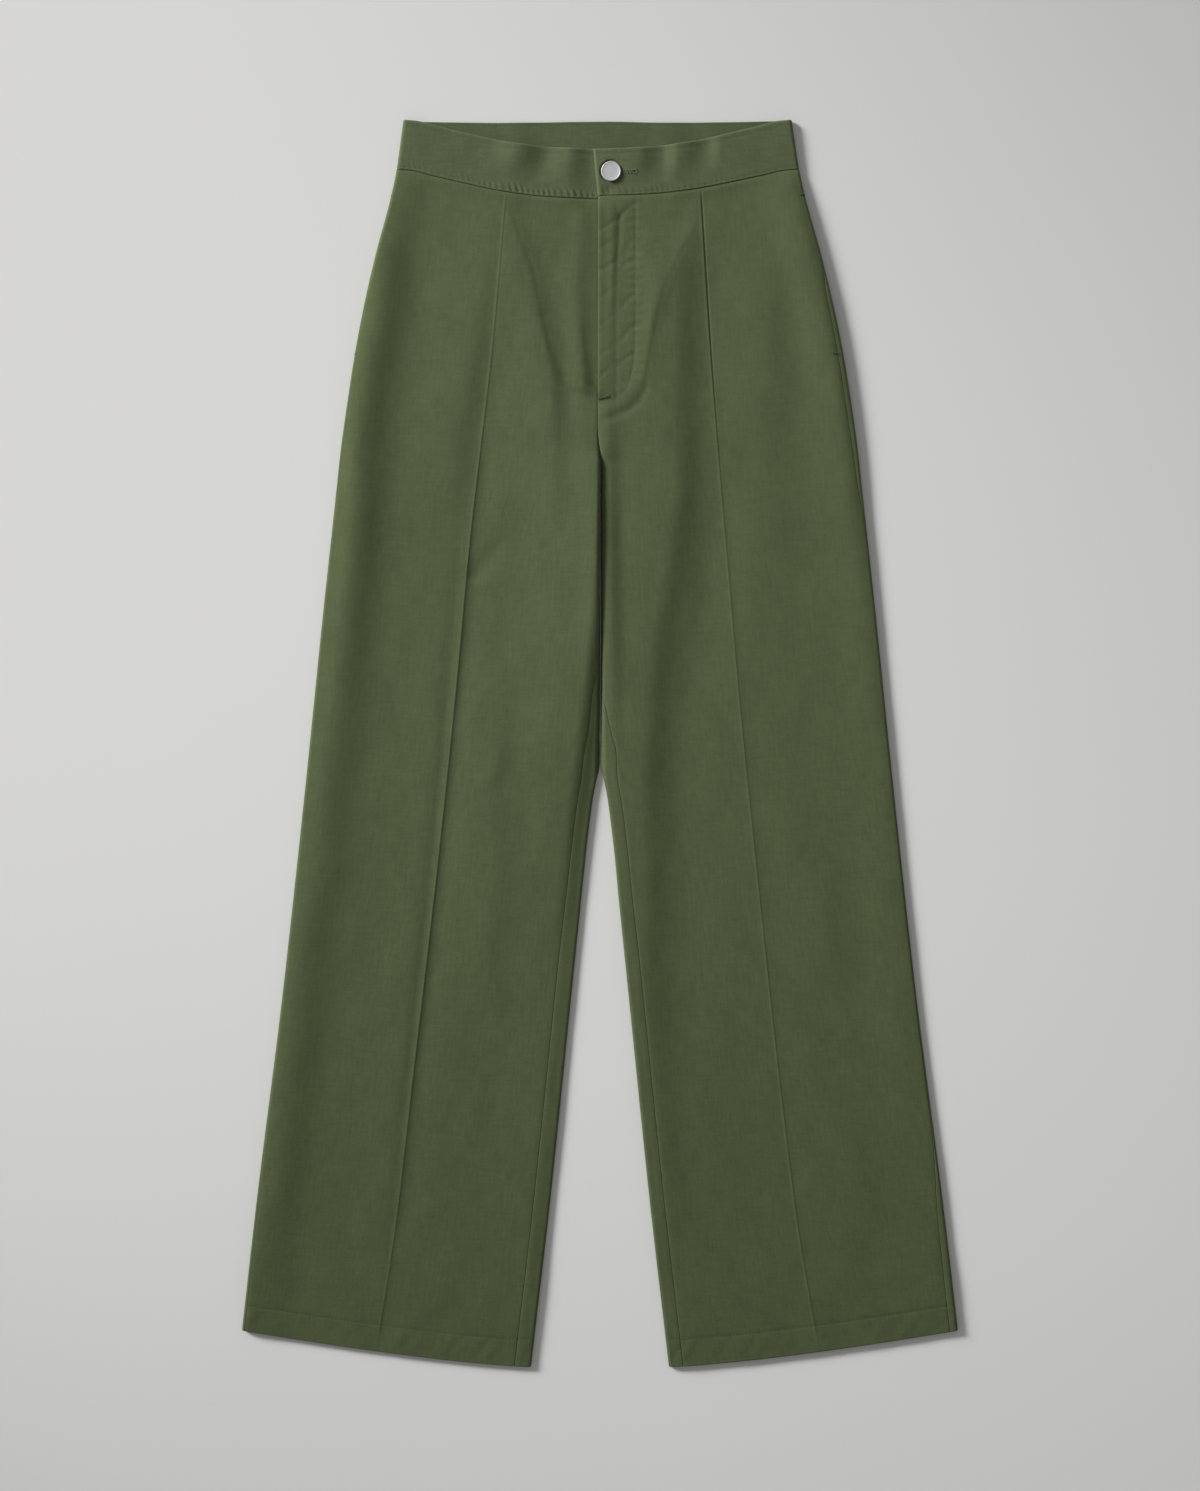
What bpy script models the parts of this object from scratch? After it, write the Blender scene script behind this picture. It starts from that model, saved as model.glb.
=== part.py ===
"""Wide-leg trousers in cotton twill, laid flat with the front up.

The tables are in millimetres and the scene in metres. X runs across, with the wearer's left at
+X, Y runs up to the waist and Z is up, with the underside on Z = 0. A drop is a distance down
from the corners of the waist. A side is -1 for the wearer's right and +1 for the wearer's left.
Every panel is a wall of cloth: a grid of outer points, and the same points moved in.
"""

import math
from collections import namedtuple

import bmesh
import bpy

MM = 0.001
RIGHT, LEFT = -1, 1

# Driving sizes
SIDE_LENGTH = 1089.5
HEM_TILT = 32.9
TILT_POWER = 1.35
TOTAL_LENGTH = SIDE_LENGTH + HEM_TILT
CLOTH = 1.0
HEM_CLOTH = 2.0
HEM_DEPTH = 24.0
HEM_STEP = 1.5
SEAM_GAP = 0.3
CROTCH_DROP = 315.0
FLY_END_DROP = 250.0
DIP_END_DROP = 240.0

# Waistband
BAND_WIDTH = 44.6
BAND_CLOTH = 2.0
BAND_RADIUS = 3.5
BAND_DIP = 26.1
BACK_DIP = 1.4
SEAM_DIP = {RIGHT: 26.4, LEFT: 23.8}
BAND_LEVEL = 6.6
BAND_CALM = 0.6
UNDERLAP_END = 36.0
UNDERLAP_SLOPE = (-24.0, -8.0)
LAP_EDGE_TOP = -6.3
LAP_EDGE_SEAM = -2.2

# Fly
FLY_LEVEL = 6.2
FLY_RISE = (-34.0, -8.0)
FLY_FALL = (40.0, 74.0)
FLY_ALLOWANCE = 11.5
FLY_SLOPE = (-22.0, -5.0)
SHIELD = {"left": -6.0, "right": 36.0, "top": 73.0, "bottom": 256.0, "floor": 1.3}
ZIP = {"left": -1.0, "right": 23.0, "top": 76.0, "bottom": 240.0, "floor": 2.6}

# Pintuck ridge down each front, and how far the folded edges lift the top
TUCK_HEIGHT = 0.9
TUCK_HALF = 2.4
EDGE_BLEND = 10.0

# Button
BUTTON_AT = (9.9, 46.6)
BUTTON_RADIUS = 8.85
BUTTON_THICKNESS = 2.2
BUTTON_RIM = 1.1
BUTTON_DISH = 0.4
SHANK_RADIUS = 1.8
BUTTONHOLE_END = 32.4
BUTTONHOLE_SLIT = 1.0
BUTTON_STEPS = 32

# Pocket bags
BAG_INSET = 8.0
BAG_FLOOR = 1.3

Outline = namedtuple("Outline", "drop half_width")
OUTLINE = [
    Outline(0, 174.9),
    Outline(24, 178.3),
    Outline(45, 181.4),
    Outline(72, 187.2),
    Outline(117, 199.4),
    Outline(162, 210.2),
    Outline(207, 219.2),
    Outline(252, 226.4),
    Outline(297, 232.7),
    Outline(342, 237.6),
    Outline(432, 247.5),
    Outline(612, 266.0),
    Outline(792, 285.8),
    Outline(972, 308.7),
    Outline(SIDE_LENGTH, 322.3),
]

Sway = namedtuple("Sway", "drop shift")
SWAY = [Sway(0, -2.2), Sway(120, -1.4), Sway(260, -0.6), Sway(700, -0.6), Sway(SIDE_LENGTH, 0)]

# The centre line, and half the gap between the legs
Centre = namedtuple("Centre", "drop line half_gap")
CENTRE = [
    Centre(0, -1.8, 0.15),
    Centre(250, -1.8, 0.15),
    Centre(285, 0.3, 0.15),
    Centre(330, 1.0, 0.15),
    Centre(400, 0.7, 0.8),
    Centre(480, 0.4, 1.5),
    Centre(560, 0.2, 2.4),
    Centre(590, 0.2, 3.3),
    Centre(612, 0.2, 6.8),
    Centre(657, 0.2, 12.4),
    Centre(702, 0, 16.9),
    Centre(792, 0, 26.1),
    Centre(972, 0, 44.6),
    Centre(1122, 0, 62.0),
]

# Share of the waist's dip, from the side (0) to the centre (1)
Dip = namedtuple("Dip", "share depth")
DIP = [
    Dip(0, 0),
    Dip(0.07, 0.04),
    Dip(0.18, 0.22),
    Dip(0.33, 0.46),
    Dip(0.54, 0.76),
    Dip(0.75, 0.93),
    Dip(1, 1),
]

# The pintuck's place on each front, and its height as a share
Tuck = namedtuple("Tuck", "drop right left height")
TUCK = [
    Tuck(65, -84.6, 90.0, 1.0),
    Tuck(207, -97.2, 99.0, 1.0),
    Tuck(378, -117.0, 113.0, 0.9),
    Tuck(522, -130.5, 125.5, 0.8),
    Tuck(684, -147.6, 142.0, 0.7),
    Tuck(846, -166.5, 159.5, 0.6),
    Tuck(999, -184.5, 178.5, 0.5),
    Tuck(1107, -201.5, 197.0, 0.3),
]

# Where the side seam lies, in mm inward from the top of the outer fold (negative is round the fold)
SideSeam = namedtuple("SideSeam", "drop right left")
SIDE_SEAM = [
    SideSeam(45, -3.0, -3.0),
    SideSeam(120, -2.6, -2.6),
    SideSeam(160, -1.6, 1.8),
    SideSeam(250, -0.8, 2.6),
    SideSeam(320, -1.0, 1.6),
    SideSeam(380, -2.4, -2.4),
    SideSeam(900, -2.0, -1.0),
    SideSeam(1000, -0.8, 4.2),
    SideSeam(SIDE_LENGTH, -0.6, 4.6),
]

# Where the inseam lies, in mm past the top of the inner fold (negative is on top of the leg)
Inseam = namedtuple("Inseam", "drop right left")
INSEAM = [
    Inseam(CROTCH_DROP, 3.6, 3.6),
    Inseam(396, 5.2, 5.2),
    Inseam(470, 4.6, 5.0),
    Inseam(505, 1.0, 3.6),
    Inseam(535, -5.0, -1.0),
    Inseam(575, -7.0, -11.0),
    Inseam(612, -11.0, -11.0),
    Inseam(770, -12.6, -11.4),
    Inseam(1122, -13.2, -11.4),
]

# Heights down the garment: the radius of the folded edges, and the middle of the top
Level = namedtuple("Level", "drop radius middle")
LEVEL = [
    Level(45, 2.6, 5.3),
    Level(120, 2.6, 5.2),
    Level(300, 2.5, 5.2),
    Level(334, 2.4, 5.15),
    Level(385, 2.4, 4.5),
    Level(470, 2.4, 4.2),
    Level(800, 2.4, 4.0),
    Level(1000, 2.5, 4.3),
    Level(1060, 2.9, 5.2),
    Level(SIDE_LENGTH, 2.9, 5.3),
]

# How the centre front and centre back curl into the crotch
Curl = namedtuple("Curl", "drop front_radius front back_radius back")
CURL = [
    Curl(45, 12.0, 0.0, 10.0, 0.0),
    Curl(255, 12.0, 0.0, 10.0, 0.0),
    Curl(275, 6.0, 0.26, 10.0, 0.0),
    Curl(295, 2.4, 0.72, 3.4, 0.0),
    Curl(305, 2.4, 0.92, 2.4, 0.5),
    Curl(CROTCH_DROP, 2.4, 1.0, 2.4, 1.0),
]

# The soft folds of the fronts: the crest's run and height, its half widths toward the wearer's
# right and left, and how far it fades past its ends
Crest = namedtuple("Crest", "drop x height")
Fold = namedtuple("Fold", "side to_right to_left fade crest")
FOLDS = {
    "right_outer_roll": Fold(RIGHT, 18, 18, 22, [
        Crest(54, -182, 1.5), Crest(90, -191, 3.2), Crest(126, -196, 5.0), Crest(171, -200, 5.5),
        Crest(234, -212, 5.8), Crest(299, -219, 6.0), Crest(378, -222, 5.8),
        Crest(450, -230, 5.0), Crest(522, -236, 4.2), Crest(585, -245, 3.5),
        Crest(662, -252, 3.2), Crest(721, -263, 3.5), Crest(774, -269, 3.0),
        Crest(878, -282, 2.4), Crest(961, -292, 2.0), Crest(1017, -301, 1.9),
        Crest(1082, -310, 1.0),
    ]),
    "right_beside_tuck": Fold(RIGHT, 36, 14, 22, [
        Crest(86, -104, 0.2), Crest(162, -111, 1.8), Crest(234, -121, 2.2), Crest(315, -133, 1.2),
        Crest(378, -139, 0.2),
    ]),
    "right_hip_to_crotch": Fold(RIGHT, 32, 13, 22, [
        Crest(72, -83, 0.4), Crest(101, -73, 1.5), Crest(133, -62, 2.5), Crest(180, -50, 3.2),
        Crest(225, -42, 2.8), Crest(288, -38, 1.5), Crest(342, -36, 0.4),
    ]),
    "right_beside_fly": Fold(RIGHT, 12, 9, 22, [
        Crest(153, -31, 0.2), Crest(194, -22, 1.8), Crest(230, -15, 2.0), Crest(259, -7, 0.8),
    ]),
    "right_inner_roll": Fold(RIGHT, 36, 14, 22, [
        Crest(274, -3, 2.2), Crest(324, -4, 4.5), Crest(378, -7, 5.0), Crest(432, -13, 5.2),
        Crest(486, -20, 5.2), Crest(540, -27, 4.5), Crest(603, -32, 3.0), Crest(684, -40, 1.8),
        Crest(756, -47, 0.4),
    ]),
    "right_knee_pucker": Fold(RIGHT, 13, 8, 7, [
        Crest(367, -85, 0.1), Crest(381, -103, 1.1), Crest(392, -119, 0.8),
    ]),
    "right_inner_leg": Fold(RIGHT, 36, 18, 22, [
        Crest(468, -97, 0.1), Crest(558, -99, 1.6), Crest(666, -99, 1.6), Crest(738, -103, 1.2),
        Crest(846, -106, 0.1),
    ]),
    "right_thigh_pucker": Fold(RIGHT, 11, 9, 7, [
        Crest(562, -90, 0.4), Crest(585, -94, 0.8), Crest(608, -110, 0.1),
    ]),
    "right_tuck_slope": Fold(RIGHT, 27, 4, 22, [
        Crest(396, -135, 0.4), Crest(576, -149, 0.8), Crest(756, -167, 0.8),
        Crest(936, -187, 0.6), Crest(1062, -200, 0.2),
    ]),
    "right_inner_hem": Fold(RIGHT, 23, 13, 22, [
        Crest(738, -40, 0.2), Crest(864, -54, 1.0), Crest(972, -65, 0.9), Crest(1080, -72, 0.2),
    ]),
    "left_outer_roll": Fold(LEFT, 22, 14, 22, [
        Crest(45, 167, 1.8), Crest(86, 178, 3.5), Crest(135, 191, 3.6), Crest(180, 202, 3.6),
        Crest(252, 214, 3.6), Crest(324, 223, 3.0), Crest(432, 234, 2.0), Crest(612, 252, 1.5),
        Crest(837, 274, 1.2), Crest(1053, 302, 0.6),
    ]),
    "left_long_fold": Fold(LEFT, 32, 20, 22, [
        Crest(94, 79, 0.4), Crest(128, 72, 2.8), Crest(162, 68, 4.5), Crest(252, 66, 5.2),
        Crest(315, 69, 5.0), Crest(396, 59, 4.5), Crest(459, 47, 4.5), Crest(522, 40, 4.8),
        Crest(594, 36, 4.8), Crest(657, 40, 4.2), Crest(732, 40, 4.2), Crest(792, 42, 3.2),
        Crest(846, 47, 2.2), Crest(936, 56, 0.5),
    ]),
    "left_long_hollow": Fold(LEFT, 20, 23, 22, [
        Crest(279, 104, -0.1), Crest(378, 101, -1.2), Crest(468, 90, -1.2), Crest(558, 81, -1.0),
        Crest(657, 81, -0.6), Crest(774, 85, -0.1),
    ]),
    "left_inner_roll": Fold(LEFT, 6, 11, 22, [
        Crest(279, 11, 1.0), Crest(342, 15, 1.8), Crest(414, 14, 1.5), Crest(486, 13, 0.4),
    ]),
    "left_fly_bend": Fold(LEFT, 9, 7, 7, [
        Crest(153, 56, 0.2), Crest(194, 50, 1.0), Crest(225, 41, 1.2), Crest(248, 25, 1.1),
        Crest(261, 5, 0.6),
    ]),
    "left_tuck_to_fly": Fold(LEFT, 8, 5, 22, [
        Crest(88, 86, 0.4), Crest(128, 68, 0.8), Crest(171, 52, 0.6), Crest(198, 45, 0.1),
    ]),
    "left_fly_press": Fold(LEFT, 5, 5, 22, [
        Crest(76, 9, 0.8), Crest(126, 10, 0.9), Crest(189, 7, 0.5), Crest(245, 5, 0.4),
    ]),
    "left_hip": Fold(LEFT, 31, 22, 22, [
        Crest(81, 148, 0.2), Crest(162, 148, 1.8), Crest(234, 148, 1.9), Crest(315, 148, 0.4),
    ]),
    "left_thigh": Fold(LEFT, 25, 22, 22, [
        Crest(324, 142, 0.1), Crest(360, 149, 1.0), Crest(414, 153, 0.1),
    ]),
    "left_knee": Fold(LEFT, 23, 23, 22, [
        Crest(648, 200, 0.1), Crest(720, 202, 1.2), Crest(810, 198, 0.1),
    ]),
    "left_knee_pucker": Fold(LEFT, 16, 16, 22, [
        Crest(594, 167, 0.1), Crest(639, 176, 0.9), Crest(684, 184, 0.1),
    ]),
    "left_inner_shin": Fold(LEFT, 27, 23, 22, [
        Crest(846, 94, 0.1), Crest(936, 95, 0.9), Crest(1026, 101, 0.2),
    ]),
    "left_outer_shin": Fold(LEFT, 32, 27, 22, [
        Crest(873, 218, 0.2), Crest(954, 225, 1.0), Crest(1035, 230, 0.2),
    ]),
}

# Ripples of the front waistband: its height across, at its upper edge
Ripple = namedtuple("Ripple", "x height")
RIPPLES = [
    Ripple(-168, 7.0),
    Ripple(-130, 6.3),
    Ripple(-95, 6.5),
    Ripple(-68, 7.9),
    Ripple(-50, 5.5),
    Ripple(-30, 6.4),
    Ripple(-14, 7.3),
    Ripple(0, 7.3),
    Ripple(34, 7.3),
    Ripple(51, 5.8),
    Ripple(68, 7.5),
    Ripple(84, 5.8),
    Ripple(108, 6.8),
    Ripple(140, 6.4),
    Ripple(166, 7.0),
]

# Half the outline of a pocket bag: how far in from the side it reaches
Bag = namedtuple("Bag", "drop depth")
BAG = [Bag(47.5, 88), Bag(110, 128), Bag(190, 150), Bag(260, 156), Bag(300, 138), Bag(322, 96), Bag(330, 60)]

LEG_DROPS = [
    BAND_WIDTH, 62, 85, 112, 142, 175, 208, 234, 241, 247, 256, 266, 276, 286, 295, 305, CROTCH_DROP,
    335, 365, 400, 440, 480, 510, 540, 575, 600, 640, 700, 775, 850, 925, 1000, 1045,
    SIDE_LENGTH - HEM_DEPTH - HEM_STEP, SIDE_LENGTH - HEM_DEPTH, SIDE_LENGTH,
]
FRONT_FROM_SIDE = [0, 1.8, 4.0, 9.0, 18.0, 29.0, 42.0, 58.0]
FRONT_BEFORE_TUCK = [0.34, 0.7]
FRONT_AFTER_TUCK = [0.16, 0.34, 0.52, 0.68, 0.84]
FRONT_FROM_CENTRE = [26.0, 13.0, 5.0, 3.2, 1.6, 0]
BACK_INNER_SHARES = [1.0, 0.7, 0.48, 0.36, 0.24, 0.12, 0]
BACK_OUTER_SHARES = [0, 0.18, 0.36, 0.54, 0.77, 1.0]
BACK_FLOOR_SHARES = [0.06, 0.5, 0.94]
BAND_ROWS = [0, 0.3, 0.65, 1.0]
BAND_COLUMNS_RIGHT = [
    -172, -164, -154, -140, -126, -104, -86, -68, -59, -50, -38, -26, -19, -13, -8, 4, 20, UNDERLAP_END,
]
BAND_COLUMNS_LEFT = [169, 161, 152, 140, 126, 108, 96, 84, 76, 68, 59.5, 51, 42, 34, 20, 8]
BAND_FOLD_SHARES = [1.0, 0.66, 0.33, 0]


# Curves through the tables

def clamp(value):
    return min(max(value, 0.0), 1.0)


def ease(value):
    """Runs smoothly from 0 to 1 as the value does."""
    share = clamp(value)
    return share * share * (3 - 2 * share)


def ramp(span, value):
    """Eases from 0 at the span's start to 1 at its end."""
    return ease((value - span[0]) / (span[1] - span[0]))


def mix(low, high, share):
    return low + (high - low) * share


def read(table, column, at):
    """A column of a table at a place, on a smooth curve that never overshoots its rows."""
    places = [row[0] for row in table]
    values = [getattr(row, column) for row in table]
    if at <= places[0]:
        return values[0]
    if at >= places[-1]:
        return values[-1]
    gaps = [b - a for a, b in zip(places, places[1:])]
    rises = [(b - a) / gap for a, b, gap in zip(values, values[1:], gaps)]
    slopes = [rises[0]]
    for before, after in zip(rises, rises[1:]):
        slopes.append(0.0 if before * after <= 0 else 2 * before * after / (before + after))
    slopes.append(rises[-1])
    i = max(k for k in range(len(gaps)) if places[k] <= at)
    t = (at - places[i]) / gaps[i]
    return (
        values[i] * (1 + 2 * t) * (1 - t) ** 2
        + values[i + 1] * t * t * (3 - 2 * t)
        + gaps[i] * t * (1 - t) * (slopes[i] * (1 - t) - slopes[i + 1] * t)
    )


def side_column(side):
    return "left" if side == LEFT else "right"


# The garment's outline

def outer_edge(side, drop):
    return read(SWAY, "shift", drop) + side * read(OUTLINE, "half_width", drop)


def inner_edge(side, drop):
    return read(CENTRE, "line", drop) + side * read(CENTRE, "half_gap", drop)


def across(side, x, drop):
    """The share of the way from the side to the centre line."""
    side_x = outer_edge(side, drop)
    return abs(x - side_x) / abs(inner_edge(side, drop) - side_x)


def tilt(share, drop):
    """How far a row has sunk toward the inner leg, which hangs lower than the side."""
    grown = clamp((drop - CROTCH_DROP) / (SIDE_LENGTH - CROTCH_DROP))
    return HEM_TILT * grown * (1 - (1 - clamp(share)) ** TILT_POWER)


def waist_dip(share, drop, depth):
    """How far a row has sunk toward the centre, following the waist."""
    fading = 1 - ramp((BAND_WIDTH, DIP_END_DROP), drop)
    return depth * fading * read(DIP, "depth", clamp(share))


def to_y(drop):
    return TOTAL_LENGTH / 2 - drop


# Heights of the fronts

def bump(distance, width):
    return math.exp(-((distance / width) ** 2))


def fold_height(fold, x, drop):
    """A soft fold's height at a place, across its crest and fading past its ends."""
    crest = fold.crest
    lean = (read(crest, "x", drop + 1) - read(crest, "x", drop - 1)) / 2
    aside = (x - read(crest, "x", drop)) / math.hypot(1, lean)
    past = max(crest[0].drop - drop, drop - crest[-1].drop, 0)
    width = fold.to_left if aside > 0 else fold.to_right
    return read(crest, "height", drop) * bump(aside, width) * bump(past, fold.fade)


def front_height(side, x, drop, row):
    """The height of the fronts' outer face, laid flat, without the pintuck."""
    radius, middle = read(LEVEL, "radius", drop), read(LEVEL, "middle", drop)
    from_side = abs(x - outer_edge(side, row)) - radius
    from_inner = abs(x - inner_edge(side, drop)) - radius
    edge = 2 * radius - middle
    curl = read(CURL, "front", row)
    height = middle + edge * bump(from_side, EDGE_BLEND) + edge * curl * bump(from_inner, EDGE_BLEND)
    fly = ramp(FLY_RISE, x) * (1 - ramp(FLY_FALL, x)) * (1 - ramp((FLY_END_DROP, CROTCH_DROP - 20), drop))
    height = mix(height, FLY_LEVEL, fly)
    folds = sum(fold_height(fold, x, drop) for fold in FOLDS.values() if fold.side == side)
    if side == RIGHT:
        under_lap = ramp(FLY_SLOPE, x) * (1 - ramp((FLY_END_DROP - 3, FLY_END_DROP + 6), row))
        height -= (CLOTH + SEAM_GAP) * under_lap
        folds *= 1 - under_lap
    return height + folds


# One row of a leg, as a path round its flattened tube

class Row:
    """A flattened ring of cloth at one drop: its folds, its top and the floor."""

    def __init__(self, side, drop):
        self.side = side
        self.drop = drop
        self.inward = -side
        self.radius = read(LEVEL, "radius", drop)
        self.outer = outer_edge(side, drop)
        self.inner = inner_edge(side, drop + tilt(1, drop))
        self.front_end = self.inner + self.fly_allowance()
        self.curl = {name: read(CURL, name, drop) for name in Curl._fields[1:]}

    def fly_allowance(self):
        """The right front reaches under the lap, down to just above the bartack."""
        if self.side == LEFT:
            return 0.0
        return FLY_ALLOWANCE * (1 - ramp((FLY_END_DROP - 12, FLY_END_DROP - 4), self.drop))

    def share(self, x):
        return abs(x - self.outer) / abs(self.inner - self.outer)

    def place(self, x, height, dip):
        share = self.share(x)
        drop = self.drop + tilt(share, self.drop) + waist_dip(share, self.drop, dip)
        return x, to_y(drop), height

    def top(self, x, dip):
        share = self.share(x)
        drop = self.drop + tilt(share, self.drop) + waist_dip(share, self.drop, dip)
        return x, to_y(drop), front_height(self.side, x, drop, self.drop)

    def outer_fold(self, angle, dip):
        """A point of the outer fold, at an angle from its top."""
        crown = self.top(self.outer + self.inward * self.radius, dip)[2]
        x = self.outer + self.inward * self.radius * (1 - math.sin(angle))
        return self.place(x, crown / 2 * (1 + math.cos(angle)), dip)

    def from_side(self, inset, dip):
        """A point of the top, or of the outer fold where the inset is negative."""
        if inset < 0:
            return self.outer_fold(-inset / self.radius, dip)
        return self.top(self.outer + self.inward * (self.radius + inset), dip)

    def front_past_centre(self, past, dip):
        """A point of the front near its inner end, past the top of the inner fold."""
        radius = self.curl["front_radius"]
        start = self.front_end - self.inward * radius
        if past < 0:
            return self.top(start + self.inward * past, dip)
        bend = self.curl["front"]
        reach = mix(min(past, radius), radius * math.sin(past / radius), bend)
        level = self.top(start + self.inward * min(past, radius), dip)
        crown = self.top(start, dip)[2]
        sunk = bend * crown / 2 * (1 - math.cos(past / radius))
        return self.place(start + self.inward * reach, mix(level[2], crown, bend) - sunk, dip)

    def back_past_centre(self, past, dip):
        """A point of the back near its inner end, past the foot of the inner fold."""
        radius = self.curl["back_radius"]
        start = self.inner - self.inward * radius
        if past > math.pi * radius:
            return self.top(start - self.inward * (past - math.pi * radius), dip)
        if past < 0:
            return self.place(start + self.inward * past, 0.0, dip)
        bend = self.curl["back"]
        reach = mix(min(past, radius), radius * math.sin(past / radius), bend)
        crown = self.top(start, dip)[2]
        return self.place(start + self.inward * reach, bend * crown / 2 * (1 - math.cos(past / radius)), dip)

    def front_end_past(self):
        """How far the front's inner end lies past the top of the inner fold."""
        radius = self.curl["front_radius"]
        if self.drop < CROTCH_DROP:
            return mix(radius, math.pi / 2 * radius - SEAM_GAP / 2, self.curl["front"])
        return read(INSEAM, side_column(self.side), self.drop + tilt(1, self.drop))

    def back_end_past(self):
        """How far the back's inner end lies past the foot of the inner fold."""
        radius = self.curl["back_radius"]
        if self.drop < CROTCH_DROP:
            return mix(radius, math.pi / 2 * radius - SEAM_GAP / 2, self.curl["back"])
        return math.pi * radius - self.front_end_past() - SEAM_GAP


# Walls of cloth

def offset_in(path, at, wall, outward, step=0.05):
    """A point of a path and the same point moved in, square to the path as seen down the leg."""
    x, y, z = path(at)
    x0, _, z0 = path(at - step)
    x1, _, z1 = path(at + step)
    length = math.hypot(x1 - x0, z1 - z0) * outward
    return (x, y, z), (x - wall * (z0 - z1) / length, y, z - wall * (x1 - x0) / length)


def wall_mesh(name, outer, inner):
    """A closed wall between two grids of points with the same rows and columns."""
    rows, columns = len(outer), len(outer[0])
    shape = bmesh.new()

    def vert(point):
        return shape.verts.new([value * MM for value in point])

    top = [[vert(point) for point in row] for row in outer]
    under = [[vert(point) for point in row] for row in inner]
    for i in range(rows - 1):
        for j in range(columns - 1):
            for layer in (top, under):
                shape.faces.new((layer[i][j], layer[i][j + 1], layer[i + 1][j + 1], layer[i + 1][j]))
    for i in range(rows - 1):
        for j in (0, columns - 1):
            shape.faces.new((top[i][j], top[i + 1][j], under[i + 1][j], under[i][j]))
    for j in range(columns - 1):
        for i in (0, rows - 1):
            shape.faces.new((top[i][j], top[i][j + 1], under[i][j + 1], under[i][j]))
    bmesh.ops.recalc_face_normals(shape, faces=shape.faces)
    mesh = bpy.data.meshes.new(name)
    shape.to_mesh(mesh)
    shape.free()
    return mesh


def hem_wall(drop):
    """The wall's thickness: the turned-up hem doubles it."""
    return HEM_CLOTH if drop > SIDE_LENGTH - HEM_DEPTH - HEM_STEP / 2 else CLOTH


def raised(point, height):
    x, y, z = point
    return x, y, z + height


def front_mesh(name, side):
    outer, inner = [], []
    column = side_column(side)
    for drop in LEG_DROPS:
        row = Row(side, drop + (SEAM_GAP if drop == LEG_DROPS[0] else 0))
        dip = SEAM_DIP[side]
        seam = read(SIDE_SEAM, column, drop) + SEAM_GAP / 2
        width = abs(row.front_end - row.outer) - row.radius - row.curl["front_radius"]
        tuck_drop = drop + tilt(0.55, drop) + waist_dip(0.55, drop, dip)
        tuck = abs(read(TUCK, column, tuck_drop) - row.outer) - row.radius
        end = row.front_end_past()
        last = width + end - FRONT_FROM_CENTRE[0]
        insets = [seam + step for step in FRONT_FROM_SIDE]
        insets += [mix(insets[-1], tuck - TUCK_HALF, share) for share in FRONT_BEFORE_TUCK]
        insets += [tuck - TUCK_HALF, tuck, tuck + TUCK_HALF]
        insets += [mix(tuck + TUCK_HALF, last, share) for share in FRONT_AFTER_TUCK]
        insets += [width + end - step for step in FRONT_FROM_CENTRE]

        def path(at, row=row, dip=dip, width=width):
            if at > width:
                return row.front_past_centre(at - width, dip)
            return row.from_side(at, dip)

        ridge = TUCK_HEIGHT * read(TUCK, "height", tuck_drop)
        pairs = [offset_in(path, at, hem_wall(drop), -side) for at in insets]
        outer.append([raised(pair[0], ridge if at == tuck else 0) for pair, at in zip(pairs, insets)])
        inner.append([pair[1] for pair in pairs])
    return wall_mesh(name, outer, inner)


def back_mesh(name, side):
    outer, inner = [], []
    column = side_column(side)
    for drop in LEG_DROPS:
        row = Row(side, drop + (SEAM_GAP if drop == LEG_DROPS[0] else 0))
        wall = hem_wall(drop)
        end = row.back_end_past()
        half_turn = math.pi * row.radius
        seam = read(SIDE_SEAM, column, drop) - SEAM_GAP / 2
        foot = abs(row.inner - row.outer) - row.radius - row.curl["back_radius"]

        def inner_path(at, row=row):
            return row.back_past_centre(at, BACK_DIP)

        def floor_path(at, row=row):
            return row.place(row.outer + row.inward * (row.radius + at), 0.0, BACK_DIP)

        def outer_path(at, row=row, half_turn=half_turn):
            return row.from_side(at - half_turn, BACK_DIP)

        pairs = [offset_in(inner_path, end * share, wall, side) for share in BACK_INNER_SHARES]
        pairs += [offset_in(floor_path, foot * (1 - share), wall, side) for share in BACK_FLOOR_SHARES]
        turn = half_turn + seam
        pairs += [offset_in(outer_path, turn * share, wall, -side) for share in BACK_OUTER_SHARES]
        outer.append([pair[0] for pair in pairs])
        inner.append([pair[1] for pair in pairs])
    return wall_mesh(name, outer, inner)


# Waistband

def band_height(side, x, share):
    """The height of the front waistband's outer face: its ripples calm toward the seam."""
    height = BAND_LEVEL + (read(RIPPLES, "height", x) - BAND_LEVEL) * (1 - BAND_CALM * share)
    if side == RIGHT:
        height -= (BAND_CLOTH + SEAM_GAP) * ramp(UNDERLAP_SLOPE, x)
    return height


def band_drop(side, x, share, top_dip, seam_dip):
    """How far down a point of the band lies, at a share of its width."""
    drop = share * BAND_WIDTH
    return drop + mix(top_dip, seam_dip, share) * read(DIP, "depth", clamp(across(side, x, drop)))


def band_fold(side, share, angle, top_dip, seam_dip):
    """A point of the band's side fold, at an angle from its top."""
    x = outer_edge(side, share * BAND_WIDTH) - side * BAND_RADIUS * (1 - math.sin(angle))
    drop = band_drop(side, x, share, top_dip, seam_dip)
    return x, to_y(drop), BAND_RADIUS * (1 + math.cos(angle))


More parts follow.
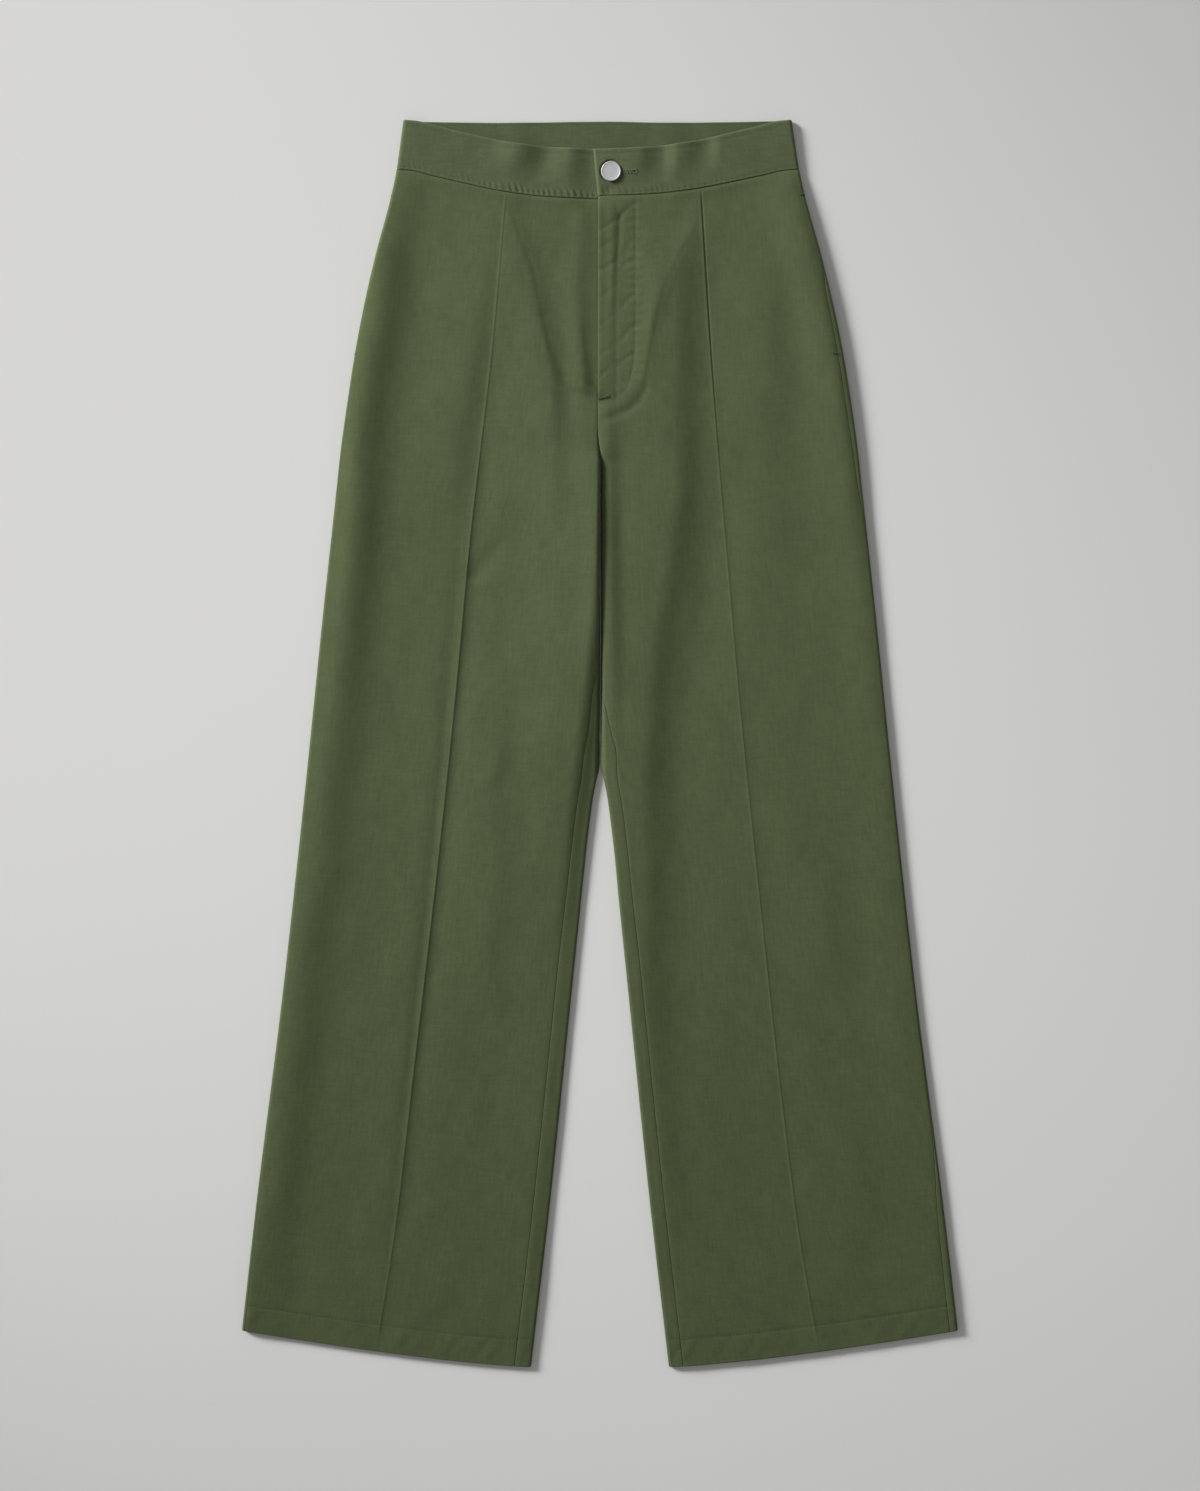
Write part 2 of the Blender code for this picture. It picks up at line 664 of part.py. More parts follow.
def front_band_mesh(name, side):
    outer, inner = [], []
    columns = BAND_COLUMNS_LEFT if side == LEFT else BAND_COLUMNS_RIGHT
    seam_angle = math.pi / 2 - SEAM_GAP / 2 / BAND_RADIUS
    for share in BAND_ROWS:
        ends = [] if side == RIGHT else [mix(LAP_EDGE_TOP, LAP_EDGE_SEAM, share)]

        def fold(angle, share=share):
            return band_fold(side, share, angle, BAND_DIP, SEAM_DIP[side])

        def top(x, share=share):
            y = to_y(band_drop(side, x, share, BAND_DIP, SEAM_DIP[side]))
            return x, y, band_height(side, x, share)

        pairs = [offset_in(fold, seam_angle * part, BAND_CLOTH, side, 0.01) for part in BAND_FOLD_SHARES]
        pairs += [offset_in(top, x, BAND_CLOTH, 1) for x in columns + ends]
        outer.append([pair[0] for pair in pairs])
        inner.append([pair[1] for pair in pairs])
    return wall_mesh(name, outer, inner)


def back_band_mesh(name, moved_in):
    """A ply of the back waistband from one side seam along the floor to the other."""
    outer, inner = [], []
    seam_angle = math.pi / 2 + SEAM_GAP / 2 / BAND_RADIUS
    for share in BAND_ROWS:
        row_outer, row_inner = [], []
        for side in (RIGHT, LEFT):

            def fold(angle, side=side, share=share):
                return band_fold(side, share, angle, BACK_DIP, BACK_DIP)

            angles = [mix(math.pi, seam_angle, part) for part in BAND_FOLD_SHARES]
            outers = [offset_in(fold, angle, moved_in, side, 0.01)[1] for angle in angles]
            inners = [offset_in(fold, angle, moved_in + CLOTH, side, 0.01)[1] for angle in angles]
            row_outer += outers if side == RIGHT else outers[::-1]
            row_inner += inners if side == RIGHT else inners[::-1]
        middle = len(BAND_FOLD_SHARES)
        for row, height in ((row_outer, moved_in), (row_inner, moved_in + CLOTH)):
            y = to_y(band_drop(LEFT, 0, share, BACK_DIP, BACK_DIP))
            row.insert(middle, (0, y, height))
        outer.append(row_outer)
        inner.append(row_inner)
    return wall_mesh(name, outer, inner)


# Hidden pieces

def strip_mesh(name, size):
    """A flat strip of cloth or tape behind the fly."""
    drops = [mix(size["top"], size["bottom"], share) for share in (0, 0.5, 1)]
    across = [mix(size["left"], size["right"], share) for share in (0, 0.5, 1)]
    grids = [[[(x, to_y(drop), height) for x in across] for drop in drops]
             for height in (size["floor"] + CLOTH, size["floor"])]
    return wall_mesh(name, *grids)


def bag_mesh(name, side):
    """A pocket bag: two plies folded at their inner edge and open at the side."""
    radius = CLOTH + SEAM_GAP / 2
    angles = [mix(0, math.pi, share) for share in (0, 0.25, 0.5, 0.75, 1)]
    outer, inner = [], []
    for bag in BAG:
        mouth = outer_edge(side, bag.drop) - side * BAG_INSET
        fold = mouth - side * (bag.depth - radius)
        rows = []
        for ply in (radius, radius - CLOTH):
            low = [(mix(mouth, fold, share), -ply) for share in (0, 0.5)]
            turn = [(fold - side * ply * math.sin(angle), -ply * math.cos(angle)) for angle in angles]
            high = [(mix(fold, mouth, share), ply) for share in (0.5, 1)]
            rows.append([(x, to_y(bag.drop), BAG_FLOOR + radius + z) for x, z in low + turn + high])
        outer.append(rows[0])
        inner.append(rows[1])
    return wall_mesh(name, outer, inner)


# Button

def turned(name, profile, collection):
    """A body turned round Z from a profile of (radius, height) that runs down its outer side."""
    mesh = bpy.data.meshes.new(name)
    points = [(radius * MM, 0, height * MM) for radius, height in profile]
    mesh.from_pydata(points, [(i, i + 1) for i in range(len(points) - 1)], [])
    body = bpy.data.objects.new(name, mesh)
    collection.objects.link(body)
    screw = body.modifiers.new("Turn", "SCREW")
    screw.steps = BUTTON_STEPS
    screw.render_steps = BUTTON_STEPS
    screw.use_merge_vertices = True
    screw.merge_threshold = 0.0001
    screw.use_smooth_shade = True
    return body


def button_place(height):
    x, drop = BUTTON_AT
    return (x * MM, to_y(drop) * MM, height * MM)


def button_heights():
    """Where the shank stands on the underlap, and the height of the cap's underside."""
    x, drop = BUTTON_AT
    share = (drop - BAND_DIP) / (BAND_WIDTH + SEAM_DIP[LEFT] - BAND_DIP)
    lap = band_height(LEFT, x, share)
    return lap - BAND_CLOTH, lap + SEAM_GAP


def add_button(collection):
    foot, cap = button_heights()
    crown = cap + BUTTON_THICKNESS
    profile = [
        (0, crown - BUTTON_DISH),
        (BUTTON_RADIUS - BUTTON_RIM - 0.5, crown - BUTTON_DISH),
        (BUTTON_RADIUS - BUTTON_RIM, crown),
        (BUTTON_RADIUS - 0.4, crown),
        (BUTTON_RADIUS, crown - 0.5),
        (BUTTON_RADIUS, cap + 0.6),
        (BUTTON_RADIUS - 0.7, cap),
        (SHANK_RADIUS, cap),
        (SHANK_RADIUS, foot),
        (0, foot),
    ]
    button = turned("waist_button", profile, collection)
    button.location = button_place(0)
    return button


def cut_buttonhole(band, cutters):
    """Opens the band for the shank, with a slit that runs on toward its closed end."""
    foot, cap = button_heights()
    middle, depth = (foot + cap) / 2 * MM, BAND_CLOTH * 4 * MM
    for name in ("buttonhole_shank", "buttonhole_slit"):
        shape = bmesh.new()
        if name == "buttonhole_shank":
            radius = (SHANK_RADIUS + SEAM_GAP) * MM
            sizes = {"radius1": radius, "radius2": radius, "depth": depth}
            bmesh.ops.create_cone(shape, cap_ends=True, segments=BUTTON_STEPS // 2, **sizes)
            centre = BUTTON_AT[0]
        else:
            bmesh.ops.create_cube(shape, size=1)
            length = BUTTONHOLE_END - BUTTON_AT[0]
            for vert in shape.verts:
                vert.co.x *= length * MM
                vert.co.y *= BUTTONHOLE_SLIT * MM
                vert.co.z *= depth
            centre = BUTTON_AT[0] + length / 2
        mesh = bpy.data.meshes.new(name)
        shape.to_mesh(mesh)
        shape.free()
        cutter = bpy.data.objects.new(name, mesh)
        cutters.objects.link(cutter)
        cutter.location = (centre * MM, to_y(BUTTON_AT[1]) * MM, middle)
        cutter.hide_render = True
        cutter.display_type = "WIRE"
        cut = band.modifiers.new(name, "BOOLEAN")
        cut.operation = "DIFFERENCE"
        cut.object = cutter


# Materials and assembly

TWILL = (0.098, 0.125, 0.056)
FACING_TWILL = (0.092, 0.118, 0.053)
POCKETING = (0.30, 0.31, 0.24)
TAPE = (0.07, 0.09, 0.045)
METAL = (0.62, 0.62, 0.63)


def material(name, colour, roughness, metallic=0.0):
    made = bpy.data.materials.new(name)
    made.use_nodes = True
    shader = made.node_tree.nodes["Principled BSDF"]
    shader.inputs["Base Color"].default_value = (*colour, 1)
    shader.inputs["Roughness"].default_value = roughness
    shader.inputs["Metallic"].default_value = metallic
    made.diffuse_color = (*colour, 1)
    return made


def add_piece(mesh, colour, collection):
    piece = bpy.data.objects.new(mesh.name, mesh)
    mesh.materials.append(material(mesh.name + "_cloth", colour, 0.85))
    mesh.shade_smooth()
    mesh.set_sharp_from_angle(angle=math.radians(50))
    collection.objects.link(piece)
    return piece


def clear_scene():
    for old in list(bpy.data.objects):
        bpy.data.objects.remove(old, do_unlink=True)


def main():
    clear_scene()
    trousers = bpy.data.collections.new("wide_leg_trousers")
    cutters = bpy.data.collections.new("cutters")
    for collection in (trousers, cutters):
        bpy.context.scene.collection.children.link(collection)
    cutters.hide_render = True

    for side in (RIGHT, LEFT):
        name = side_column(side)
        add_piece(front_mesh("front_" + name, side), TWILL, trousers)
        add_piece(back_mesh("back_" + name, side), TWILL, trousers)
        add_piece(bag_mesh("pocket_bag_" + name, side), POCKETING, trousers)
        band = add_piece(front_band_mesh("waistband_front_" + name, side), TWILL, trousers)
        if side == LEFT:
            cut_buttonhole(band, cutters)
    add_piece(back_band_mesh("waistband_back", 0), TWILL, trousers)
    add_piece(back_band_mesh("waistband_back_facing", CLOTH + SEAM_GAP), FACING_TWILL, trousers)
    add_piece(strip_mesh("fly_shield", SHIELD), TWILL, trousers)
    add_piece(strip_mesh("fly_zip", ZIP), TAPE, trousers)
    button = add_button(trousers)
    button.data.materials.append(material("waist_button_metal", METAL, 0.32, 1.0))


main()
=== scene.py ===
import math

import bmesh
import bpy
import numpy as np
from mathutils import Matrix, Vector


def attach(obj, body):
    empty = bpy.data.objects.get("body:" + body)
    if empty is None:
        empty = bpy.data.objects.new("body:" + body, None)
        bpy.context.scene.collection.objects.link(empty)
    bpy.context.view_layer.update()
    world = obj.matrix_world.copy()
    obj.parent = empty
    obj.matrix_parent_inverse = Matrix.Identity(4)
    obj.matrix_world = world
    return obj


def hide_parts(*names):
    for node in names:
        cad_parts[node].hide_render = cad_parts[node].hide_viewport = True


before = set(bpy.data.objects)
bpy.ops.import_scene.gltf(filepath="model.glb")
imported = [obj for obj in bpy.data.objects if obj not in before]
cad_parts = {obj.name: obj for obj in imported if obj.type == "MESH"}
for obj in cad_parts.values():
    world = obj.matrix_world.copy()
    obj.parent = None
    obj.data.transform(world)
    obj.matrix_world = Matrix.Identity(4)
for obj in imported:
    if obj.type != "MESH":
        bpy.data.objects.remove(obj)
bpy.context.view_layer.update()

print("frame loaded")

# Wide-leg trousers, laid flat with the front up. Sizes are in millimetres. X runs across, with the
# wearer's left at +X, and a drop is a distance down from the corners of the waist.
mm = 0.001
right, left = -1, 1


def table(names, *rows):
    return dict(zip(names.split(), np.array(rows, float).T))


# These measurements are the same as the solids'
garment = {
    "sideLength": 1089.5,
    "hemTilt": 32.9,      # the inner leg hangs this much lower than the side
    "tiltPower": 1.35,
    "cloth": 1.0,
    "hemCloth": 2.0,
    "hemDepth": 24.0,
    "seamGap": 0.3,       # between the layers
    "seam": 0.08,         # between two panels that are sewn edge to edge
    "underside": 0.2,     # the underside's stitches lie in this
    "foldGain": 1.2,
    "creaseGain": 0.9,
    "crotchDrop": 315.0,
    "edgeBlend": 10.0,
    "backDip": 1.4,
    "seamDip": {right: 26.4, left: 23.8},
    "dipEnd": 240.0,
}
fly = {
    "level": 6.2,             # the cloth lies level here, between the places where it rises and falls
    "rise": (-34, -8),
    "fall": (40, 74),
    "levelEnd": (250, 295),
    "allowance": 11.5,        # the right front goes on under the lap
    "allowanceEnd": (238, 246),
    "slope": (-22, -5),
    "slopeEnd": (246, 284),
    "calm": (-17, -3),        # its folds end at the lap
    "calmEnd": (242, 262),
    "seamStart": (248, 256),  # below the fly, the fronts share one seam
    "seamEnd": (297, 310),
    "seamReach": 15.0,
}
band = {
    "width": 44.6,
    "cloth": 2.0,
    "radius": 3.5,
    "dip": 26.1,
    "level": 6.6,
    "calm": 0.9,          # the ripples fade toward the seam
    "calmSpan": (0.2, 0.85),
    "lean": 11.0,         # the wearer's right ones lean
    "leanFrom": (-10, -45),
    "underlapEnd": 36.0,
    "underlapSlope": (-30, -6),
    "lapEdge": (-6.3, -2.2),
}

outline = table(
    "drop halfWidth", (0, 174.9), (24, 178.3), (45, 181.4), (72, 187.2), (117, 199.4), (162, 210.2),
    (207, 219.2), (252, 226.4), (297, 232.7), (342, 237.6), (432, 247.5), (612, 266), (792, 285.8),
    (972, 308.7), (1089.5, 322.3))
sway = table("drop shift", (0, -2.2), (120, -1.4), (260, -0.6), (700, -0.6), (1089.5, 0))
centre = table(
    "drop line halfGap", (0, -1.8, 0.12), (236, -1.9, 0.12), (252, -2.4, 0.12), (280, -2.2, 0.14),
    (292, -1.2, 0.2), (304, 0.4, 0.4), (315, 0.9, 0.35), (326, 0.8, 0.3), (345, 0.6, 0.4), (400, 0.5, 0.6),
    (480, 0.4, 1.2), (560, 0.2, 2.3), (590, 0.2, 3.2), (612, 0.2, 6.8), (657, 0.2, 12.4), (702, 0, 16.9),
    (792, 0, 26.1), (972, 0, 44.6), (1122, 0, 62))
dips = table(
    "share depth", (0, 0), (0.07, 0.04), (0.18, 0.22), (0.33, 0.46), (0.54, 0.76), (0.75, 0.93), (1, 1))
tucks = table(
    "drop right left", (65, -84.6, 90), (207, -97.2, 99), (300, -108, 106.3), (378, -117, 113),
    (522, -130.5, 125.5), (684, -147.6, 142), (846, -166.5, 159.5), (999, -184.5, 178.5),
    (1107, -201.5, 197))
# A tuck's fine line, the swell on the side that faces the light, the fall past it and a narrow groove
tuckShapes = {
    right: table(
        "drop line swell fall groove", (65, 0.3, 0, -0.3, 0), (135, 0.32, 0, -0.35, 0),
        (275, 0.3, 0.15, 0.25, 0), (380, 0.24, 0.4, 0.85, 0), (432, 0.22, 0.5, 1.05, 0),
        (780, 0.22, 0.52, 0.95, 0), (909, 0.2, 0.4, 0.8, 0), (1026, 0.18, 0.15, 0.45, 0),
        (1107, 0.16, 0.1, 0.3, 0)),
    left: table(
        "drop line swell fall groove", (65, 0.24, 0, 0.05, 0.6), (180, 0.26, 0, 0.1, 0.7),
        (275, 0.24, 0, 0.32, 0.15), (432, 0.2, 0.1, 0.38, 0), (600, 0.2, 0.08, 0.38, 0),
        (756, 0.3, 0, 0.22, 0), (1107, 0.28, 0, 0.18, 0)),
}
sideSeams = table(
    "drop right left", (45, -3, -3), (120, -2.6, -2.6), (160, -1.6, 1.8), (250, -0.8, 2.6), (320, -1, 1.6),
    (380, -2.4, -2.4), (900, -2, -1), (1000, -0.8, 4.2), (1089.5, -0.6, 4.6))
inseams = table(
    "drop right left", (315, 3.6, 3.6), (396, 5.2, 5.2), (470, 4.6, 5), (500, 0.5, 3.6), (518, -3.2, 1.5),
    (550, -5.8, -5), (570, -9.2, -9.6), (590, -10.9, -9.7), (612, -11, -9.8), (660, -11, -9.8),
    (770, -12.4, -10.8), (1122, -12.6, -10.6))
levels = table(
    "drop radius middle", (45, 2.6, 5.3), (120, 2.6, 5.2), (300, 2.5, 5.2), (334, 2.4, 5.15),
    (385, 2.4, 4.5), (470, 2.4, 4.2), (800, 2.4, 4), (1000, 2.5, 4.3), (1060, 2.9, 5.2), (1089.5, 2.9, 5.3))
curls = table(
    "drop frontRadius front backRadius back", (45, 12, 0, 10, 0), (255, 12, 0, 10, 0), (275, 11, 0, 10, 0),
    (288, 6, 0.12, 6, 0), (297, 3.4, 0.4, 3.2, 0.1), (306, 2.4, 0.8, 2.4, 0.55), (315, 2.4, 1, 2.4, 1))


# A soft fold has a crest, half widths toward the wearer's right and left of it, and a fade past its ends
def fold(side, toRight, toLeft, fade, *crest):
    return side, toRight, toLeft, fade, table("drop x height", *crest)


folds = {
    "rightOuterRoll": fold(
        right, 18, 22, 22, (54, -182, 1.5), (90, -191, 3.2), (126, -196, 5), (171, -200, 5.5),
        (234, -212, 5.8), (299, -219, 6), (378, -222, 5.8), (450, -230, 5), (522, -236, 4.2),
        (585, -245, 3.5), (662, -252, 3.4), (721, -263, 3.8), (774, -269, 3.6), (878, -282, 3.4),
        (961, -292, 3.2), (1017, -301, 2.8), (1082, -310, 1.2)),
    "rightBesideTuck": fold(
        right, 36, 14, 22, (86, -104, 0.2), (162, -111, 1.8), (234, -121, 2.2), (315, -133, 1.2),
        (378, -139, 0.2)),
    "rightHipToCrotch": fold(
        right, 34, 11, 22, (72, -88, 0.4), (101, -79, 1.2), (133, -68, 2), (171, -58, 2.7), (207, -50, 3),
        (240, -45, 2.6), (288, -44, 1.6), (342, -42, 0.6)),
    "rightBesideFly": fold(
        right, 12, 9, 22, (146, -25, 0.4), (190, -20, 1.2), (230, -14, 1.3), (262, -6, 0.5)),
    "rightInnerRoll": fold(
        right, 54, 14, 24, (247, -5, 0.9), (266, -4, 2.4), (290, -3, 4), (324, -3, 5.4), (378, -5, 6.2),
        (432, -8, 6.4), (486, -13, 6.2), (540, -20, 5.6), (603, -28, 4.4), (684, -38, 2.8),
        (756, -46, 0.8)),
    "rightCrotchRoll": fold(
        right, 14, 9, 18, (270, -3, 0.4), (305, -1, 1.5), (378, 0, 1.8), (440, -1, 1.5), (505, -5, 0.8),
        (570, -9, 0.2)),
    "rightKneePucker": fold(
        right, 9, 8, 7, (374, -88, -0.1), (392, -98, -0.8), (410, -111, -0.9), (418, -117, -0.1)),
    "rightInnerLeg": fold(
        right, 36, 18, 22, (468, -97, 0.1), (558, -99, 1.6), (666, -99, 1.6), (738, -103, 1.2),
        (846, -106, 0.1)),
    "rightThighPucker": fold(right, 11, 9, 7, (562, -90, 0.4), (585, -94, 0.8), (608, -110, 0.1)),
    "rightTuckSlope": fold(
        right, 27, 4, 22, (396, -135, 0.4), (576, -149, 0.8), (756, -167, 0.8), (936, -187, 0.6),
        (1062, -200, 0.2)),
    "rightInnerHem": fold(
        right, 23, 13, 22, (738, -40, 0.2), (864, -54, 1), (972, -65, 0.9), (1080, -72, 0.2)),
    "leftOuterRoll": fold(
        left, 22, 14, 22, (45, 167, 1.8), (86, 178, 3.9), (135, 191, 4.3), (180, 202, 4.2), (252, 214, 3.9),
        (324, 223, 3), (432, 234, 2), (612, 252, 1.5), (837, 274, 1.2), (1053, 302, 0.6)),
    "leftLongFold": fold(
        left, 56, 19, 16, (90, 82, 0.5), (108, 76, 2), (135, 69, 3.6), (162, 66, 4.2), (219, 66, 4.2),
        (315, 67, 3.9), (396, 58, 3.8), (459, 47, 3.9), (522, 40, 4), (594, 37, 4), (657, 38, 3.8),
        (732, 38, 3.6), (792, 40, 3.4), (846, 45, 3), (936, 54, 2.4), (1020, 60, 0.8)),
    "leftLongHollow": fold(
        left, 20, 23, 22, (279, 104, -0.1), (378, 101, -1.2), (468, 90, -1.2), (558, 81, -1),
        (657, 81, -0.6), (774, 85, -0.1)),
    "leftInnerRoll": fold(
        left, 10, 8, 16, (279, 7, 0.9), (342, 8, 2.2), (414, 9, 2.2), (486, 10, 1.4), (560, 11, 0.5)),
    "leftFlyBend": fold(
        left, 8, 6, 7, (120, 56, 0.2), (159, 49, 0.6), (201, 43, 0.8), (231, 37, 0.8), (250, 25, 0.8),
        (262, 5, 0.5)),
    "leftTuckToFly": fold(left, 8, 5, 22, (88, 86, 0.3), (128, 68, 0.6), (171, 52, 0.4), (198, 45, 0.1)),
    "leftFlyPress": fold(left, 5, 4, 22, (76, 10, 0.5), (126, 11, 0.7), (189, 8, 0.4), (245, 6, 0.3)),
    "leftHip": fold(left, 31, 22, 22, (81, 148, 0.2), (162, 148, 1.8), (234, 148, 1.9), (315, 148, 0.4)),
    "leftThigh": fold(left, 25, 22, 22, (324, 142, 0.1), (360, 149, 1), (414, 153, 0.1)),
    "leftKnee": fold(left, 23, 23, 22, (648, 200, 0.1), (720, 202, 1.2), (810, 198, 0.1)),
    "leftKneePucker": fold(left, 16, 16, 22, (594, 167, 0.1), (639, 176, 0.9), (684, 184, 0.1)),
    "leftInnerShin": fold(left, 27, 23, 22, (846, 94, 0.1), (936, 95, 0.9), (1026, 101, 0.2)),
    "leftOuterShin": fold(left, 32, 27, 22, (873, 218, 0.2), (954, 225, 1), (1035, 230, 0.2)),
}

# The waistband's ripples: its height across, at its upper edge
ripples = table(
    "x height", (-168, 7), (-130, 6.3), (-97, 6.2), (-73, 9.4), (-47, 4.7), (-24, 8), (-7, 7), (8, 7.2),
    (34, 8.5), (56, 4.8), (70, 8.8), (97, 4.9), (109, 7), (140, 6.4), (166, 7))
facingRipples = table(
    "x height", (-160, 0), (-92, 0.1), (-74, 0.5), (-50, 0), (-20, 0.3), (10, 0.45), (40, 0.1), (64, 0.5),
    (84, 0.1), (104, 0.35), (130, 0.1), (160, 0))


def clamp(value):
    return np.clip(value, 0.0, 1.0)


def ramp(span, value):  # eases from 0 at the span's start to 1 at its end
    share = clamp((value - span[0]) / (span[1] - span[0]))
    return share * share * (3 - 2 * share)


def mix(low, high, share):
    return low + (high - low) * share


def bump(distance, width):
    return np.exp(-((distance / width) ** 2))


def curve(rows, name, at):  # a table's column at a place, smooth and never past its rows
    places, values = next(iter(rows.values())), rows[name]
    gaps = np.diff(places)
    rises = np.diff(values) / gaps
    before, after = rises[:-1], rises[1:]
    same = before * after > 0
    middle = np.where(same, 2 * before * after / np.where(same, before + after, 1), 0)
    slopes = np.concatenate([rises[:1], middle, rises[-1:]])
    at = np.clip(at, places[0], places[-1])
    i = np.clip(np.searchsorted(places, at, side="right") - 1, 0, len(gaps) - 1)
    t = (at - places[i]) / gaps[i]
    return (values[i] * (1 + 2 * t) * (1 - t) ** 2 + values[i + 1] * t * t * (3 - 2 * t)
            + gaps[i] * t * (1 - t) * (slopes[i] * (1 - t) - slopes[i + 1] * t))


def sideName(side):
    return "left" if side == left else "right"


def outerEdge(side, drop):
    return curve(sway, "shift", drop) + side * curve(outline, "halfWidth", drop)


def innerEdge(side, drop):
    return curve(centre, "line", drop) + side * curve(centre, "halfGap", drop)


def tilt(share, drop):
    grown = clamp((drop - garment["crotchDrop"]) / (garment["sideLength"] - garment["crotchDrop"]))
    return garment["hemTilt"] * grown * (1 - (1 - clamp(share)) ** garment["tiltPower"])


def waistDip(share, drop, depth):
    return depth * (1 - ramp((band["width"], garment["dipEnd"]), drop)) * curve(dips, "depth", clamp(share))


def toY(drop):
    return (garment["sideLength"] + garment["hemTilt"]) / 2 - drop


def foldHeight(shape, x, drop):
    _, toRight, toLeft, fade, crest = shape
    lean = (curve(crest, "x", drop + 1) - curve(crest, "x", drop - 1)) / 2
    aside = (x - curve(crest, "x", drop)) / np.hypot(1, lean)
    past = np.maximum(np.maximum(crest["drop"][0] - drop, drop - crest["drop"][-1]), 0)
    return curve(crest, "height", drop) * bump(aside, np.where(aside > 0, toLeft, toRight)) * bump(past, fade)


def polylineDistance(points, x, drop):  # how far a place is from a drawn line, and how far along it
    nearest, along, gone = np.full(np.shape(x), 1e9), np.zeros(np.shape(x)), 0.0
    for (x0, d0), (x1, d1) in zip(points, points[1:]):
        length = math.hypot(x1 - x0, d1 - d0)
        share = clamp(((x - x0) * (x1 - x0) + (drop - d0) * (d1 - d0)) / length ** 2)
        distance = np.hypot(x - x0 - share * (x1 - x0), drop - d0 - share * (d1 - d0))
        along = np.where(distance < nearest, gone + share * length, along)
        nearest = np.minimum(nearest, distance)
        gone += length
    return nearest, along


flyStitch = {
    "line": [(32, 69), (32, 120), (32, 170), (31.9, 195), (31.2, 214), (29, 229), (24.6, 240.5), (18, 247),
             (13.5, 249.4)],
    "points": 120,
    "turn": 88,          # the point where the stitches start to curve
    "knots": (72, 80),
    "dimple": 0.42,
    "width": 1.1,
    "pucker": 0.22,      # beside the stitches
    "puckerAway": 3.0,
    "puckerWidth": 4.0,
    "spacing": 8.5,
}
flyLap = {
    "lift": 0.45,
    "edge": (-1, 7),     # its folded edge is thicker
    "wall": 1.6,
    "tilt": 2.2,         # it rises toward that edge
    "tiltFrom": 33.0,
    "start": (44, 60),
    "end": (244, 256),
    "edgeEnd": (244, 254),
}
creases = {  # soft creases pressed into the fronts round the fly: their run, depth and half width
    left: [
        ([(31, 76), (25, 80), (19, 86), (17.5, 90)], 0.6, 2.0),
        ([(17.8, 88), (17, 108), (15.8, 130)], 0.75, 2.2),
        ([(15.5, 132), (14.6, 160), (15, 200), (14.5, 255)], 0.35, 1.8),
        ([(13, 91), (6, 96.5), (-1, 99.5)], 0.55, 1.8),
        ([(13, 128.5), (5, 133.5), (-2, 136)], 0.6, 1.8),
        ([(12, 108), (5, 113), (-2, 118)], 0.3, 1.8),
        ([(11, 152), (4, 158), (-2, 161)], 0.28, 1.8),
        ([(12, 176), (5, 182), (-2, 186)], 0.22, 1.8),
        ([(12, 205), (4, 209), (-2, 214)], 0.25, 1.8),
        ([(7.5, 224.5), (3.5, 228), (0, 231.5)], 0.45, 1.6),
        ([(26, 112), (21, 122), (21, 132)], 0.25, 2.4),
        ([(31, 126), (26, 129), (21, 131.5)], 0.35, 2.0),
        ([(30, 158), (25, 162), (20.5, 168)], 0.45, 2.2),
        ([(31, 186), (25, 191), (20, 197)], 0.55, 2.2),
        ([(31, 210), (25, 214), (18, 219)], 0.5, 2.2),
        ([(78, 111), (66, 135), (56, 159), (49.5, 190), (46, 210), (41, 238)], 0.25, 2.0),
        ([(41, 243), (35, 254), (25, 262), (13, 267.5), (3, 270)], 0.75, 3.3),
    ],
    right: [
        ([(-79.5, 81), (-69, 110), (-60, 132), (-52.5, 171), (-44, 207)], 0.28, 1.9),
        ([(-50, 176), (-42, 207), (-33, 233)], 0.6, 5.0),
        ([(-14, 190), (-9, 220), (-4, 248)], 0.2, 1.9),
        ([(-3.6, 120), (-3.6, 200), (-3.6, 246)], 0.35, 1.6),
    ],
}
hem = {
    "stitchUp": 23.5,
    "dimple": 0.4,
    "width": 1.1,
    "pucker": 0.09,
    "puckerStart": (1, 8),
    "puckerEnd": (24.5, 20.5),
    "spacing": 22.0,
    "slant": 0.7,
}
pintuck = {  # widths across, and how it fades at the hem
    "gentle": 1.3,
    "steep": 0.7,
    "swell": 5.0,
    "fall": 2.8,
    "fallGain": 1.15,
    "fallEnd": 16.0,
    "groove": (1.1, 0.8),
    "hemFade": (22, 14),
    "hemShare": 0.35,
}
innerSlope = {"depth": 0.8, "width": 7.0, "start": (430, 540)}  # a leg slopes a little toward its inner fold
waistSeam = {"below": 0.3, "share": 0.9, "reach": 8.0, "dip": 0.5, "dipWidth": 1.8}
unevenness = {  # small soft waves that cloth keeps when it is laid: wavelength across, down, height
    "long": (61.0, 173.0, 0.16),
    "middle": (33.0, 71.0, 0.07),
    "short": (17.0, 29.0, 0.03),
}


def waves(x, drop, seed):
    height = 0
    for i, (across, down, size) in enumerate(unevenness.values()):
        for k in range(3):
            turn = seed * 1.7 + i * 2.3 + k * 1.1
            lean = math.sin(turn) * 0.35
            height = height + size * 0.5 * np.sin(
                (x + lean * drop) * 2 * math.pi / across * (1 + 0.23 * k) + turn * 3
            ) * np.sin((drop - lean * x) * 2 * math.pi / down * (1 - 0.17 * k) + turn * 5)
    return height


